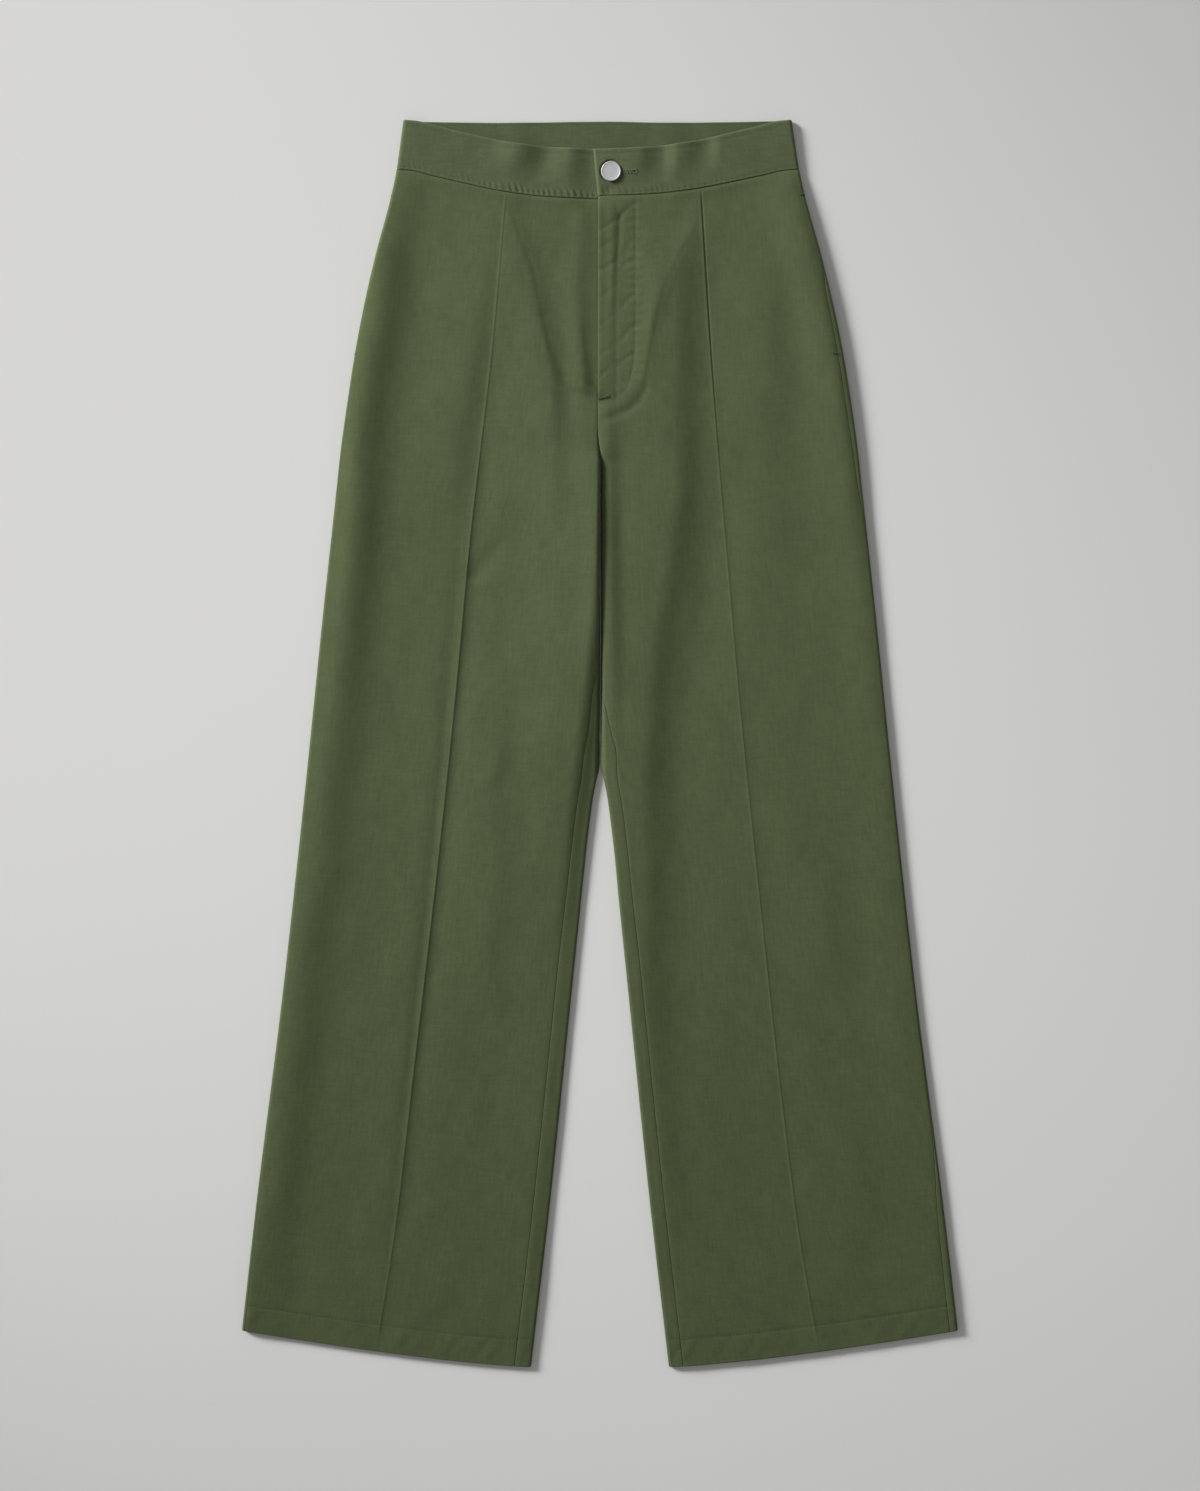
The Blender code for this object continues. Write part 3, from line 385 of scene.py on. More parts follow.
def frontHeight(side, x, drop, row):
    height = ownHeight(side, x, drop, row)
    # below the fly both fronts lean toward the height of their seam
    sewn = ramp(fly["seamStart"], drop) * (1 - ramp(fly["seamEnd"], drop))
    own, other = (ownHeight(s, innerEdge(s, drop), drop, drop + 0 * x) for s in (side, -side))
    return height + 0.5 * (other - own) * sewn * bump(x - innerEdge(side, drop), fly["seamReach"])


def ownHeight(side, x, drop, row):
    radius, middle = curve(levels, "radius", drop), curve(levels, "middle", drop)
    fromSide = np.abs(x - outerEdge(side, row)) - radius
    fromInner = np.abs(x - innerEdge(side, drop)) - radius
    edge = 2 * radius - middle
    height = middle + edge * bump(fromSide, garment["edgeBlend"])
    height = height + edge * curve(curls, "front", row) * bump(fromInner, garment["edgeBlend"])
    level = ramp(fly["rise"], x) * (1 - ramp(fly["fall"], x)) * (1 - ramp(fly["levelEnd"], drop))
    height = mix(height, fly["level"], level)
    folded = sum(foldHeight(shape, x, drop) for shape in folds.values() if shape[0] == side)
    rise = garment["foldGain"] * folded + fineRelief(side, x, drop, row)
    if side == right:
        under = ramp(fly["slope"], x) * (1 - ramp(fly["slopeEnd"], row))
        height = height - (garment["cloth"] + garment["seamGap"]) * under
        rise = rise * (1 - ramp(fly["calm"], x) * (1 - ramp(fly["calmEnd"], row)))
    inner = bump(fromInner, innerSlope["width"]) * ramp(innerSlope["start"], drop)
    height = height + rise - innerSlope["depth"] * inner
    # the top rises to the waistband that it is sewn to, and dips at the seam
    below = np.maximum(row - band["width"], 0)
    top = bandLevel(side, x, 1.0) - waistSeam["below"]
    height = mix(height, top, waistSeam["share"] * bump(below, waistSeam["reach"]))
    return height - waistSeam["dip"] * bump(below, waistSeam["dipWidth"])


def bandLevel(side, x, share):
    lean = band["lean"] * share * ramp(band["leanFrom"], x) if side == right else 0
    calm = 1 - band["calm"] * ramp(band["calmSpan"], share)
    height = band["level"] + (curve(ripples, "height", x + lean) - band["level"]) * calm
    if side == right:
        height = height - (band["cloth"] + garment["seamGap"]) * ramp(band["underlapSlope"], x)
    return height


def fineRelief(side, x, drop, row):
    height = tuckRelief(side, x, drop, row) + waves(x, drop, 1 + side) + hemRelief(side, x, row)
    for points, depth, width in creases[side]:
        height = height - garment["creaseGain"] * depth * bump(polylineDistance(points, x, drop)[0], width)
    return height + flyRelief(x, drop) if side == left else height


def tuckRelief(side, x, drop, row):
    tuck, shape = x - curve(tucks, sideName(side), drop), tuckShapes[side]
    past = np.maximum(tuck, 0)
    ridge = curve(shape, "line", drop) * bump(tuck, np.where(tuck > 0, pintuck["steep"], pintuck["gentle"]))
    ridge = ridge + curve(shape, "swell", drop) * bump(tuck, pintuck["swell"])
    fall = (1 - np.exp(-past / pintuck["fall"])) * bump(past, pintuck["fallEnd"])
    ridge = ridge - pintuck["fallGain"] * curve(shape, "fall", drop) * fall
    away, width = pintuck["groove"]
    ridge = ridge - curve(shape, "groove", drop) * bump(tuck - away, width)
    start, end = pintuck["hemFade"]
    fade = ramp((garment["sideLength"] - start, garment["sideLength"] - end), row)
    return ridge * mix(1, pintuck["hemShare"], fade)


def hemRelief(side, x, row):  # a stitched dimple, with soft slanting puckers under it
    up = garment["sideLength"] - row
    phase = (x - hem["slant"] * up) * 2 * math.pi / hem["spacing"]
    uneven = 1 + 0.7 * np.sin(x / 31 + 2.1) * np.sin(x / 17 + side)
    puckers = uneven * (np.sin(phase) + 0.6 * np.sin(phase * 1.63 + 1.2))
    puckers = puckers * ramp(hem["puckerEnd"], up) * ramp(hem["puckerStart"], up)
    return hem["pucker"] * puckers - hem["dimple"] * bump(up - hem["stitchUp"], hem["width"])


def flyRelief(x, drop):
    down = ramp(flyLap["start"], drop) * (1 - ramp(flyLap["end"], drop))
    tilted = clamp((flyLap["tiltFrom"] - x) / flyLap["tiltFrom"])
    height = (flyLap["lift"] * (1 - ramp(flyLap["edge"], x)) + flyLap["tilt"] * tilted) * down
    near, along = polylineDistance(flyStitch["line"], x, drop)
    ripple = np.sin(along * 2 * math.pi / flyStitch["spacing"] + 0.8 * np.sin(along / 13))
    beside = bump(near - flyStitch["puckerAway"], flyStitch["puckerWidth"])
    height = height + flyStitch["pucker"] * ripple * beside
    return height - flyStitch["dimple"] * bump(near, flyStitch["width"])


underCrotch = {"gap": 0.04, "end": (569, 587), "turn": ((0, 0.5), (0.9, 1.9))}  # the backs nearly meet here


class Leg:  # a leg's rows, as a path round its flattened tube
    def __init__(self, side, drop, dip):
        self.side, self.drop, self.dip, self.inward = side, drop, dip, -side
        self.radius = curve(levels, "radius", drop)
        self.outer = outerEdge(side, drop)
        self.inner = innerEdge(side, drop + tilt(1, drop))
        under = fly["allowance"] * (1 - ramp(fly["allowanceEnd"], drop))
        self.frontEnd = self.inner + (under if side == right else 0)
        self.curl = {name: curve(curls, name, drop) for name in list(curls)[1:]}

    def place(self, x):
        share = np.abs(x - self.outer) / np.abs(self.inner - self.outer)
        return self.drop + tilt(share, self.drop) + waistDip(share, self.drop, self.dip)

    def height(self, x):
        return frontHeight(self.side, x, self.place(x), self.drop + 0 * x)

    def outside(self, inset):  # on the top, or round the outer fold where the inset is negative
        angle = np.maximum(-inset, 0) / self.radius
        crown = self.height(self.outer + self.inward * self.radius)
        x = self.outer + self.inward * (self.radius * (1 - np.sin(angle)) + np.maximum(inset, 0))
        return x, np.where(inset < 0, crown / 2 * (1 + np.cos(angle)), self.height(x))

    def frontWidth(self):
        return np.abs(self.frontEnd - self.outer) - self.radius - self.curl["frontRadius"]

    def front(self, at):  # the front, which curls down into the crotch at its inner end
        past, radius, bend = at - self.frontWidth(), self.curl["frontRadius"], self.curl["front"]
        start, over = self.frontEnd - self.inward * radius, np.maximum(past, 0)
        reach = mix(np.minimum(over, radius), radius * np.sin(over / radius), bend)
        level = self.height(start + self.inward * np.minimum(over, radius))
        crown = self.height(start)
        x, z = self.outside(at)
        curled = mix(level, crown, bend) - bend * crown / 2 * (1 - np.cos(over / radius))
        return np.where(past < 0, x, start + self.inward * reach), np.where(past < 0, z, curled)

    def backInner(self, past):  # the back, from the floor round the inner fold and onto the top
        radius, bend = self.curl["backRadius"], self.curl["back"]
        start, turn = self.inner - self.inward * radius, math.pi * radius
        over = np.clip(past, 0, turn)
        reach = mix(np.minimum(over, radius), radius * np.sin(over / radius), bend)
        z = bend * self.height(start) / 2 * (1 - np.cos(over / radius))
        topX = start - self.inward * np.maximum(past - turn, 0)
        x = np.where(past > turn, topX, start + self.inward * (reach + self.lip(over / radius)))
        return x, np.where(past > turn, self.height(topX), z)

    def lip(self, angle):  # under the crotch, the backs nearly meet on the floor
        gap = np.maximum(np.abs(self.inner - curve(centre, "line", self.drop)) - underCrotch["gap"], 0)
        start, end = underCrotch["turn"]
        gap = gap * (1 - ramp(underCrotch["end"], self.drop))
        return gap * self.curl["back"] * ramp(start, angle) * (1 - ramp(end, angle))

    def endPast(self, name, seam):  # where a panel ends: at the seam, or in the crotch's curl above it
        radius = self.curl[name + "Radius"]
        curled = mix(radius, math.pi / 2 * radius - garment["seam"] / 2, self.curl[name])
        return np.where(self.drop < garment["crotchDrop"], curled, seam)

    def frontEndPast(self):
        return self.endPast("front", curve(inseams, sideName(self.side), self.drop + tilt(1, self.drop)))

    def backEndPast(self):
        return self.endPast("back", math.pi * self.curl["backRadius"] - self.frontEndPast() - garment["seam"])


def rowOf(side, x, drop):  # the row that passes through a place
    row = drop
    for _ in range(6):  # each round is closer
        share = clamp(np.abs(x - outerEdge(side, row)) / np.abs(innerEdge(side, drop) - outerEdge(side, row)))
        row = drop - tilt(share, row)
    return row


def steps(start, end, size):
    return np.linspace(start, end, max(2, int(round(abs(end - start) / size)) + 1))


def clothMesh(name, outer, inner, weave, wearAndHighlight):  # two grids of points, joined along their edges
    rows, columns = outer.shape[:2]
    count = rows * columns
    points = np.concatenate([outer.reshape(-1, 3), inner.reshape(-1, 3)]) * mm
    index = np.arange(count).reshape(rows, columns)

    def quads(a, b, c, d):
        return np.stack([a, b, c, d], -1).reshape(-1, 4)

    top = quads(index[:-1, :-1], index[:-1, 1:], index[1:, 1:], index[1:, :-1])
    under = top[:, ::-1] + count
    ring = np.concatenate([index[0, :-1], index[:-1, -1], index[-1, :0:-1], index[:0:-1, 0]])
    following = np.roll(ring, -1)
    rim = quads(following, ring, ring + count, following + count)
    faces = np.concatenate([top, under, rim])
    a, b, c, d = (points[faces[:, k]] for k in range(4))
    volume = np.sum(a * np.cross(b, c)) + np.sum(a * np.cross(c, d))
    if volume < 0:
        faces = faces[:, ::-1]
    mesh = bpy.data.meshes.new(name)
    mesh.from_pydata(points.tolist(), [], faces.tolist())
    mesh.shade_smooth()
    layer = mesh.uv_layers.new(name="weave")
    both = np.concatenate([weave.reshape(-1, 2)] * 2) * mm
    layer.data.foreach_set("uv", both[faces.ravel()].ravel().astype(np.float32))
    paled = mesh.attributes.new("wearAndHighlight", "FLOAT", "POINT")
    paled.data.foreach_set("value", np.concatenate([wearAndHighlight.ravel()] * 2).astype(np.float32))
    return mesh


shellEdge = {  # sewn edges are rounded more tightly than folded ones
    "crimp": 0.36,
    "thinnest": 0.03,
    "dip": 0.22,
    "dipWidth": 1.7,
    "dipUnder": 0.4,
}
palingSizes = {  # how much the cloth is paled, and how wide: by wear, and at the laps' edges also by painted highlight
    "edge": (0.3, 1.6), "tuck": (0.3, 1.3), "hem": (0.35, 2.2), "flyLap": (0.4, 1.6),
    "bandTop": (0.5, 1.6), "bandLap": (0.8, 1.5), "facingTop": (0.4, 1.6),
}
tuckWornFrom = (150, 420)


def paling(name, distance):
    amount, width = palingSizes[name]
    return amount * bump(distance, width)


def shell(name, x, drop, z, wall, outward, straight, wearAndHighlight, turned=False):
    # the outer face is given, the inner one is a wall away, and the edges are rounded
    dx, dz = np.gradient(x, axis=1), np.gradient(z, axis=1)
    length = np.hypot(dx, dz) * outward
    wall = wall + 0 * x
    outer = np.stack([x, toY(drop), z], -1)
    inner = np.stack([x + wall * dz / length, toY(drop), z - wall * dx / length], -1)
    strides = [np.diff(values, axis=1, prepend=values[:, :1]) for values in (x, z)]
    run = np.cumsum(np.hypot(*strides), axis=1)
    across = np.minimum(run, run[:, -1:] - run)
    down = np.cumsum(np.abs(np.diff(drop, axis=0, prepend=drop[:1])), axis=0)
    ends = np.minimum(down, down[-1:] - down)
    half = wall / 2
    rounded = clamp(np.minimum(across / shellEdge["crimp"], ends / half))
    thick = np.sqrt(np.maximum(1 - (1 - rounded) ** 2, shellEdge["thinnest"]))[..., None]
    centreLine, arm = (outer + inner) / 2, (outer - inner) / 2
    dip = arm / half[..., None] * (shellEdge["dip"] * bump(across, shellEdge["dipWidth"]))[..., None]
    outer, inner = centreLine + arm * thick - dip, centreLine - arm * thick - dip * shellEdge["dipUnder"]
    along = run - run[:, straight:straight + 1]
    weave = np.stack([drop, along] if turned else [along, drop], -1)
    return clothMesh(name, outer, inner, weave, clamp(wearAndHighlight + paling("edge", np.minimum(across, ends))))


def placed(name, data):  # an object at the origin, with its place in its data
    thing = bpy.data.objects.new(name, data)
    bpy.context.scene.collection.objects.link(thing)
    return thing


def finished(name, mesh, finish, nodes=()):  # a piece on the root body, with its finish
    piece = placed(name, mesh)
    mesh.materials.clear()
    mesh.materials.append(finish)
    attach(piece, "root")
    if nodes:
        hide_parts(*nodes)
    return piece


def plainMesh(thing):  # its mesh with its modifiers' result
    view = bpy.context.evaluated_depsgraph_get()
    return bpy.data.meshes.new_from_object(thing.evaluated_get(view), depsgraph=view)


def bmeshed(shape, mesh):
    shape.to_mesh(mesh)
    shape.free()
    return mesh


class Signal:  # a node's output, which sums can be written with
    def __init__(self, socket):
        self.socket = socket

    def sum(self, operation, *others):
        values = dict(enumerate([self, *others]))
        return addNode(self.socket.id_data, "ShaderNodeMath", {"operation": operation}, values)

    def __add__(self, other):
        return self.sum("ADD", other)

    def __sub__(self, other):
        return self.sum("SUBTRACT", other)

    def __mul__(self, other):
        return self.sum("MULTIPLY", other)

    def __rsub__(self, other):
        return self.sum("MULTIPLY", -1.0).sum("ADD", other)

    __radd__, __rmul__ = __add__, __mul__


def addNode(tree, kind, settings, values, output=0):
    node = tree.nodes.new(kind)
    for name, value in settings.items():
        setattr(node, name, value)
    for name, value in values.items():
        if isinstance(value, Signal):
            tree.links.new(value.socket, node.inputs[name])
        else:
            node.inputs[name].default_value = value
    return Signal(node.outputs[output]) if len(node.outputs) else node


def newFinish(name):
    finish = bpy.data.materials.new(name)
    finish.use_nodes = True
    finish.node_tree.nodes.clear()
    return finish, finish.node_tree


def ownPlace(tree):
    return addNode(tree, "ShaderNodeTexCoord", {}, {}, "Object")


def acrossAndDown(tree, place):
    split = addNode(tree, "ShaderNodeSeparateXYZ", {}, {"Vector": place})
    return split, Signal(split.socket.node.outputs["Y"])


def cloud(tree, place, scale, detail):
    return addNode(tree, "ShaderNodeTexNoise", {}, {"Vector": place, "Scale": scale, "Detail": detail})


def shades(colour, low, high):
    return {"dark": [value * low for value in colour], "light": [value * high for value in colour]}


def between(tree, look, tone):  # a colour from a finish's dark one to its light one
    share = addNode(tree, "ShaderNodeClamp", {}, {"Value": tone})
    return addNode(tree, "ShaderNodeMix", {"data_type": "RGBA"},
                   {0: share, 6: (*look["dark"], 1), 7: (*look["light"], 1)}, 2)


# Colour, roughness and height may vary over a surface; the other settings are one value each
def surface(tree, colour, roughness, height, settings):
    bumped = addNode(tree, "ShaderNodeBump", {},
                     {"Height": height, "Distance": mm, "Strength": settings["bump"]})
    shader = addNode(tree, "ShaderNodeBsdfPrincipled", {}, {
        "Base Color": colour, "Roughness": roughness, "Normal": bumped,
        "Metallic": settings.get("metallic", 0.0), "Specular IOR Level": settings.get("specular", 0.3),
        "Sheen Weight": settings.get("sheen", 0.0), "Sheen Roughness": 0.5,
    })
    addNode(tree, "ShaderNodeOutputMaterial", {}, {"Surface": shader})


twills = {  # linear colours, sizes in mm and strengths as shares of the colour
    "olive twill": {"dark": (0.061, 0.0802, 0.0324), "light": (0.109, 0.14, 0.0584)},
    # painted light: these two copies of the olive twill are made lighter, for the stronger light at the waist
    "waistband twill painted lit": {"dark": (0.071, 0.093, 0.041), "light": (0.128, 0.163, 0.076)},
    "facing twill painted lit": {"dark": (0.066, 0.087, 0.038), "light": (0.118, 0.152, 0.070)},
}
weave = {
    "fade": 0.5,   # painted light: paler toward the waist, for the stronger light there
    "wale": 0.62,
    "lean": 0.9,
    "grain": 1.1,
    "slub": 2.6,
    "mottle": 26.0,
    "bump": 0.35,
    "sheen": 0.06,
    "tone": {"wale": 0.14, "grain": 0.8, "slub": 0.5, "weft": 0.36, "mottle": 0.35, "wearAndHighlight": 0.3},
    "relief": {"wale": 0.03, "thread": 0.01, "grain": 0.12, "slub": 0.1},
}


def twill(name):
    finish, tree = newFinish(name)
    along = addNode(tree, "ShaderNodeUVMap", {"uv_map": "weave"}, {})
    scaled = addNode(tree, "ShaderNodeVectorMath", {"operation": "SCALE"}, {0: along, "Scale": 1 / mm})
    across, down = acrossAndDown(tree, scaled)

    def noise(x, y):
        at = addNode(tree, "ShaderNodeCombineXYZ", {}, {"X": across * x, "Y": down * y})
        return addNode(tree, "ShaderNodeTexNoise", {"noise_dimensions": "2D"},
                       {"Vector": at, "Scale": 1.0, "Detail": 2.0, "Roughness": 0.55}) - 0.5

    parts = {
        "wale": ((across - down * weave["lean"]) * (2 * math.pi / weave["wale"])).sum("SINE"),
        "thread": (down * (2 * math.pi / (weave["wale"] * 0.8))).sum("SINE"),
        "grain": noise(1 / weave["grain"], 1 / weave["grain"]),
        "slub": noise(1 / weave["slub"], 0.16 / weave["slub"]),
        "weft": noise(0.14 / weave["slub"], 1 / weave["slub"]),
        "mottle": noise(1 / weave["mottle"], 0.6 / weave["mottle"]),
        # this attribute holds wear, and at the laps' edges painted highlight
        "wearAndHighlight": addNode(tree, "ShaderNodeAttribute", {"attribute_name": "wearAndHighlight"}, {}, "Fac"),
    }
    tone = sum(parts[part] * size for part, size in weave["tone"].items()) + 0.5
    height = sum(parts[part] * size for part, size in weave["relief"].items())
    # painted light: the olive twill is painted lighter toward the waist, for the stronger light there
    if name == "olive twill":
        tone = tone + (down * (-1 / garment["sideLength"]) + 0.5) * weave["fade"]
    surface(tree, between(tree, twills[name], tone), 0.86 - parts["wearAndHighlight"] * 0.06, height, weave)
    return finish


threadLook = {"ply": 0.35, "bump": 0.5, "sheen": 0.1}
threads = {
    "sewing thread": (0.100, 0.128, 0.062),
    # painted shade: a dark thread stands in for the shade of stitches sunk into the cloth
    "painted shade thread": (0.036, 0.045, 0.023),
    # a thread paler than the sewing thread
    "pale thread": (0.16, 0.19, 0.11),
}


def threadFinish(name):
    finish, tree = newFinish(name)
    at = ownPlace(tree)
    x, y = acrossAndDown(tree, at)
    twist = ((x + y) * (2 * math.pi / (threadLook["ply"] * mm))).sum("SINE")
    patch = cloud(tree, at, 240.0, 1.0)
    colour = between(tree, shades(threads[name], 0.85, 1.15), patch * 0.8 + twist * 0.1 + 0.1)
    surface(tree, colour, 0.7 - patch * 0.1, twist * 0.02, threadLook)
    return finish


plainCloths = {  # for what hardly shows, with its threads' spacing in mm
    "pocketing": {"dark": (0.22, 0.235, 0.17), "light": (0.31, 0.325, 0.25), "thread": 0.5},
    "fly shield twill": {"dark": (0.066, 0.086, 0.040), "light": (0.11, 0.14, 0.07), "thread": 0.6},
    "zip tape": {"dark": (0.05, 0.066, 0.032), "light": (0.085, 0.108, 0.055), "thread": 0.8},
}


def plainCloth(name):
    look = plainCloths[name]
    finish, tree = newFinish(name)
    at = ownPlace(tree)
    turn = 2 * math.pi / (look["thread"] * mm)
    warp, weft = ((place * turn).sum("SINE") for place in acrossAndDown(tree, at))
    patch = cloud(tree, at, 130.0, 3.0)
    colour = between(tree, look, warp * weft * 0.25 + patch * 0.7 + 0.1)
    surface(tree, colour, 0.9 - patch * 0.08, warp * weft * 0.05 + patch * 0.1, {"bump": 0.4, "sheen": 0.05})
    return finish


metal = {
    "dark": (0.58, 0.58, 0.59),
    "light": (0.74, 0.74, 0.75),
    "rings": 4200.0,  # faint turning marks, how many to a metre
    "bump": 0.1,
    "metallic": 0.4,
    "specular": 0.5,
}


def buttonMetal():
    finish, tree = newFinish("satin metal")
    x, drop = button["at"]
    middle = addNode(tree, "ShaderNodeMapping", {"vector_type": "POINT"},
                     {"Vector": ownPlace(tree), "Location": (-x * mm, -toY(drop) * mm, 0)})
    reach = addNode(tree, "ShaderNodeVectorMath", {"operation": "LENGTH"}, {0: middle}, "Value")
    rings = addNode(tree, "ShaderNodeTexNoise", {"noise_dimensions": "1D"},
                    {"W": reach * metal["rings"], "Scale": 1.0, "Detail": 2.0})
    patch = cloud(tree, middle, 260.0, 2.0)
    colour = between(tree, metal, rings * 0.6 + patch * 0.5 - 0.05)
    surface(tree, colour, 0.42 + patch * 0.16, rings * 0.05, metal)
    return finish


legGrid = {  # sizes of the panels' mesh, in mm
    "edge": (0, 0.2, 0.5, 1.0, 1.7),
    "waistStep": 1.5,
    "flyStep": 2.1,
    "rowStep": 3.6,
    "hemStep": 1.3,
    "side": (2.6, 3.8, 5.2, 7, 9, 11.5, 14.5, 18),
    "tuck": (-9, -6.5, -4.8, -3.5, -2.5, -1.8, -1.3, -0.9, -0.5, -0.2, 0, 0.3, 0.6, 0.9, 1.3, 1.8, 2.5, 3.5,
             4.8, 6.5, 9),
    "tuckShare": 0.55,  # how far across the front it runs
    "centreWidth": 60.0,
    "centreStep": 1.5,
    "betweenFront": 21,
    "floorColumns": 50,
    "wrapColumns": 13,
    "sideColumns": 12,
}


def legRows():
    top, bottom, edge = band["width"] + garment["seam"], garment["sideLength"], np.array(legGrid["edge"])
    spans = ((top + 3, top + 15, "waistStep"), (top + 17, 276, "flyStep"), (279, bottom - 33, "rowStep"),
             (bottom - 31, bottom - 3, "hemStep"))
    middle = [steps(start, end, legGrid[size]) for start, end, size in spans]
    return np.concatenate([top + edge, *middle, bottom - edge[::-1]])[:, None]


def hemWall(drop):
    start = garment["sideLength"] - garment["hemDepth"] - 1.5
    return mix(garment["cloth"], garment["hemCloth"], ramp((start, start + 1.5), drop))


def frontPanel(side):
    leg, edge = Leg(side, legRows(), garment["seamDip"][side]), np.array(legGrid["edge"])
    seam = curve(sideSeams, sideName(side), leg.drop) + garment["seam"] / 2
    share = legGrid["tuckShare"]
    tuckDrop = leg.drop + tilt(share, leg.drop) + waistDip(share, leg.drop, leg.dip)
    tuck = np.abs(curve(tucks, sideName(side), tuckDrop) - leg.outer) - leg.radius
    last = leg.frontWidth() + leg.frontEndPast()
    nearSide = seam + np.array([*edge, *legGrid["side"]])
    nearTuck = tuck + leg.inward * np.array(legGrid["tuck"])[::leg.inward]
    toCentre = steps(legGrid["centreWidth"], 2.7, legGrid["centreStep"])
    nearCentre = last - np.concatenate([toCentre, edge[::-1]])
    shares = np.linspace(0, 1, legGrid["betweenFront"])[1:-1]
    at = np.concatenate([
        nearSide, mix(nearSide[:, -1:], nearTuck[:, :1], shares), nearTuck,
        mix(nearTuck[:, -1:], nearCentre[:, :1], shares), nearCentre], 1)
    x, z = leg.front(at)
    paled = paling("hem", garment["sideLength"] - leg.drop)
    paled = paled + paling("tuck", at - tuck) * ramp(tuckWornFrom, leg.drop)
    straight = nearSide.shape[1] + len(shares) + len(legGrid["tuck"]) // 2
    wall = hemWall(leg.drop) + 0 * x
    if side == left:
        folded = (1 - ramp(flyLap["edge"], x)) * (1 - ramp(flyLap["edgeEnd"], leg.drop))
        wall = wall + (flyLap["wall"] - garment["cloth"]) * folded
        # the fly lap's folded edge is paled by wear and also by painted highlight, on the side that faces the
        # light
        paled = paled + folded * paling("flyLap", x - x[:, -1:])
    return shell("front" + sideName(side).title(), x, leg.place(x), z, wall, -side, straight, paled)


def backPanel(side):
    leg, edge = Leg(side, legRows(), garment["backDip"]), np.array(legGrid["edge"])
    seam = curve(sideSeams, sideName(side), leg.drop) - garment["seam"] / 2
    end = leg.backEndPast()
    foot = np.abs(leg.inner - leg.outer) - leg.radius - leg.curl["backRadius"]
    wrap = np.concatenate([end - edge, (end - edge[-1]) * np.linspace(1, 0, legGrid["wrapColumns"])[1:]], 1)
    xIn, zIn = leg.backInner(wrap)
    floorAt = foot * np.linspace(1, 0, legGrid["floorColumns"])[1:-1]
    xFloor = leg.outer + leg.inward * (leg.radius + floorAt)
    turn = math.pi * leg.radius + seam
    rise = (turn - edge[-1]) * np.linspace(0, 1, legGrid["sideColumns"])[:-1]
    rise = np.concatenate([rise, turn - edge[::-1]], 1)
    xOut, zOut = leg.outside(rise - math.pi * leg.radius)
    x = np.concatenate([xIn, xFloor, xOut], 1)
    z = np.maximum(np.concatenate([zIn, 0 * xFloor, zOut], 1), garment["underside"])
    straight = wrap.shape[1] + legGrid["floorColumns"] // 2
    return shell("back" + sideName(side).title(), x, leg.place(x), z, hemWall(leg.drop), -side, straight,
                 paling("hem", garment["sideLength"] - leg.drop))


bandRelief = {  # the seam's stitches pull slanting puckers into the band
    "stitchUp": 2.2,
    "dimple": 0.22,
    "dimpleWidth": 0.9,
    "pucker": {right: 0.85, left: 0.3},
    "puckerUp": 3.6,
    "puckerStart": (0.6, 2.4),
    "calmEnds": (125, 70),
    "spacing": 5.3,
    "slant": 0.35,
    "slow": 0.68,        # the share of a pucker's width in which it rises
    "edgeRidge": 0.14,
    "ridges": ((2.6, 1.4, 1), (5.4, 1.3, -1)),
    "ripple": 0.10,
    "underButton": 1.0,  # the lap gives under the button
}
bandGrid = {  # sizes of the waistband's mesh, in mm
    "rowStep": 1.15,
    "buttonStep": 0.5,
    "seamStep": 0.7,
    "columnStep": 0.7,
    "columns": 180.0,
    "lapFrom": 150.0,
    "lapStep": 0.5,
    "foldColumns": 10,
    "backColumns": 190,
}
lap = {"roll": 1.1, "rollWidth": (0, 2.4), "press": 1.25, "pressWidth": 0.75, "pressPast": 0.65}
button = {
    "at": (9.9, 46.6),
    "radius": 8.85,
    "thickness": 2.2,
    "rim": 0.8,
    "dish": 0.22,
    "shank": 1.8,
    "steps": 96,
    "holeEnd": 32.4,
    "slit": 0.36,
    "weld": 0.01,
    "eyelet": 0.9,
    "cutDepth": 12.0,
    "sharp": 48.0,
}


def lapShare(drop):  # how far down the band a drop on the lap is, and the other way round
    return (drop - band["dip"]) / (band["width"] + garment["seamDip"][left] - band["dip"])


def lapDrop(share):
    return band["dip"] + share * (band["width"] + garment["seamDip"][left] - band["dip"])


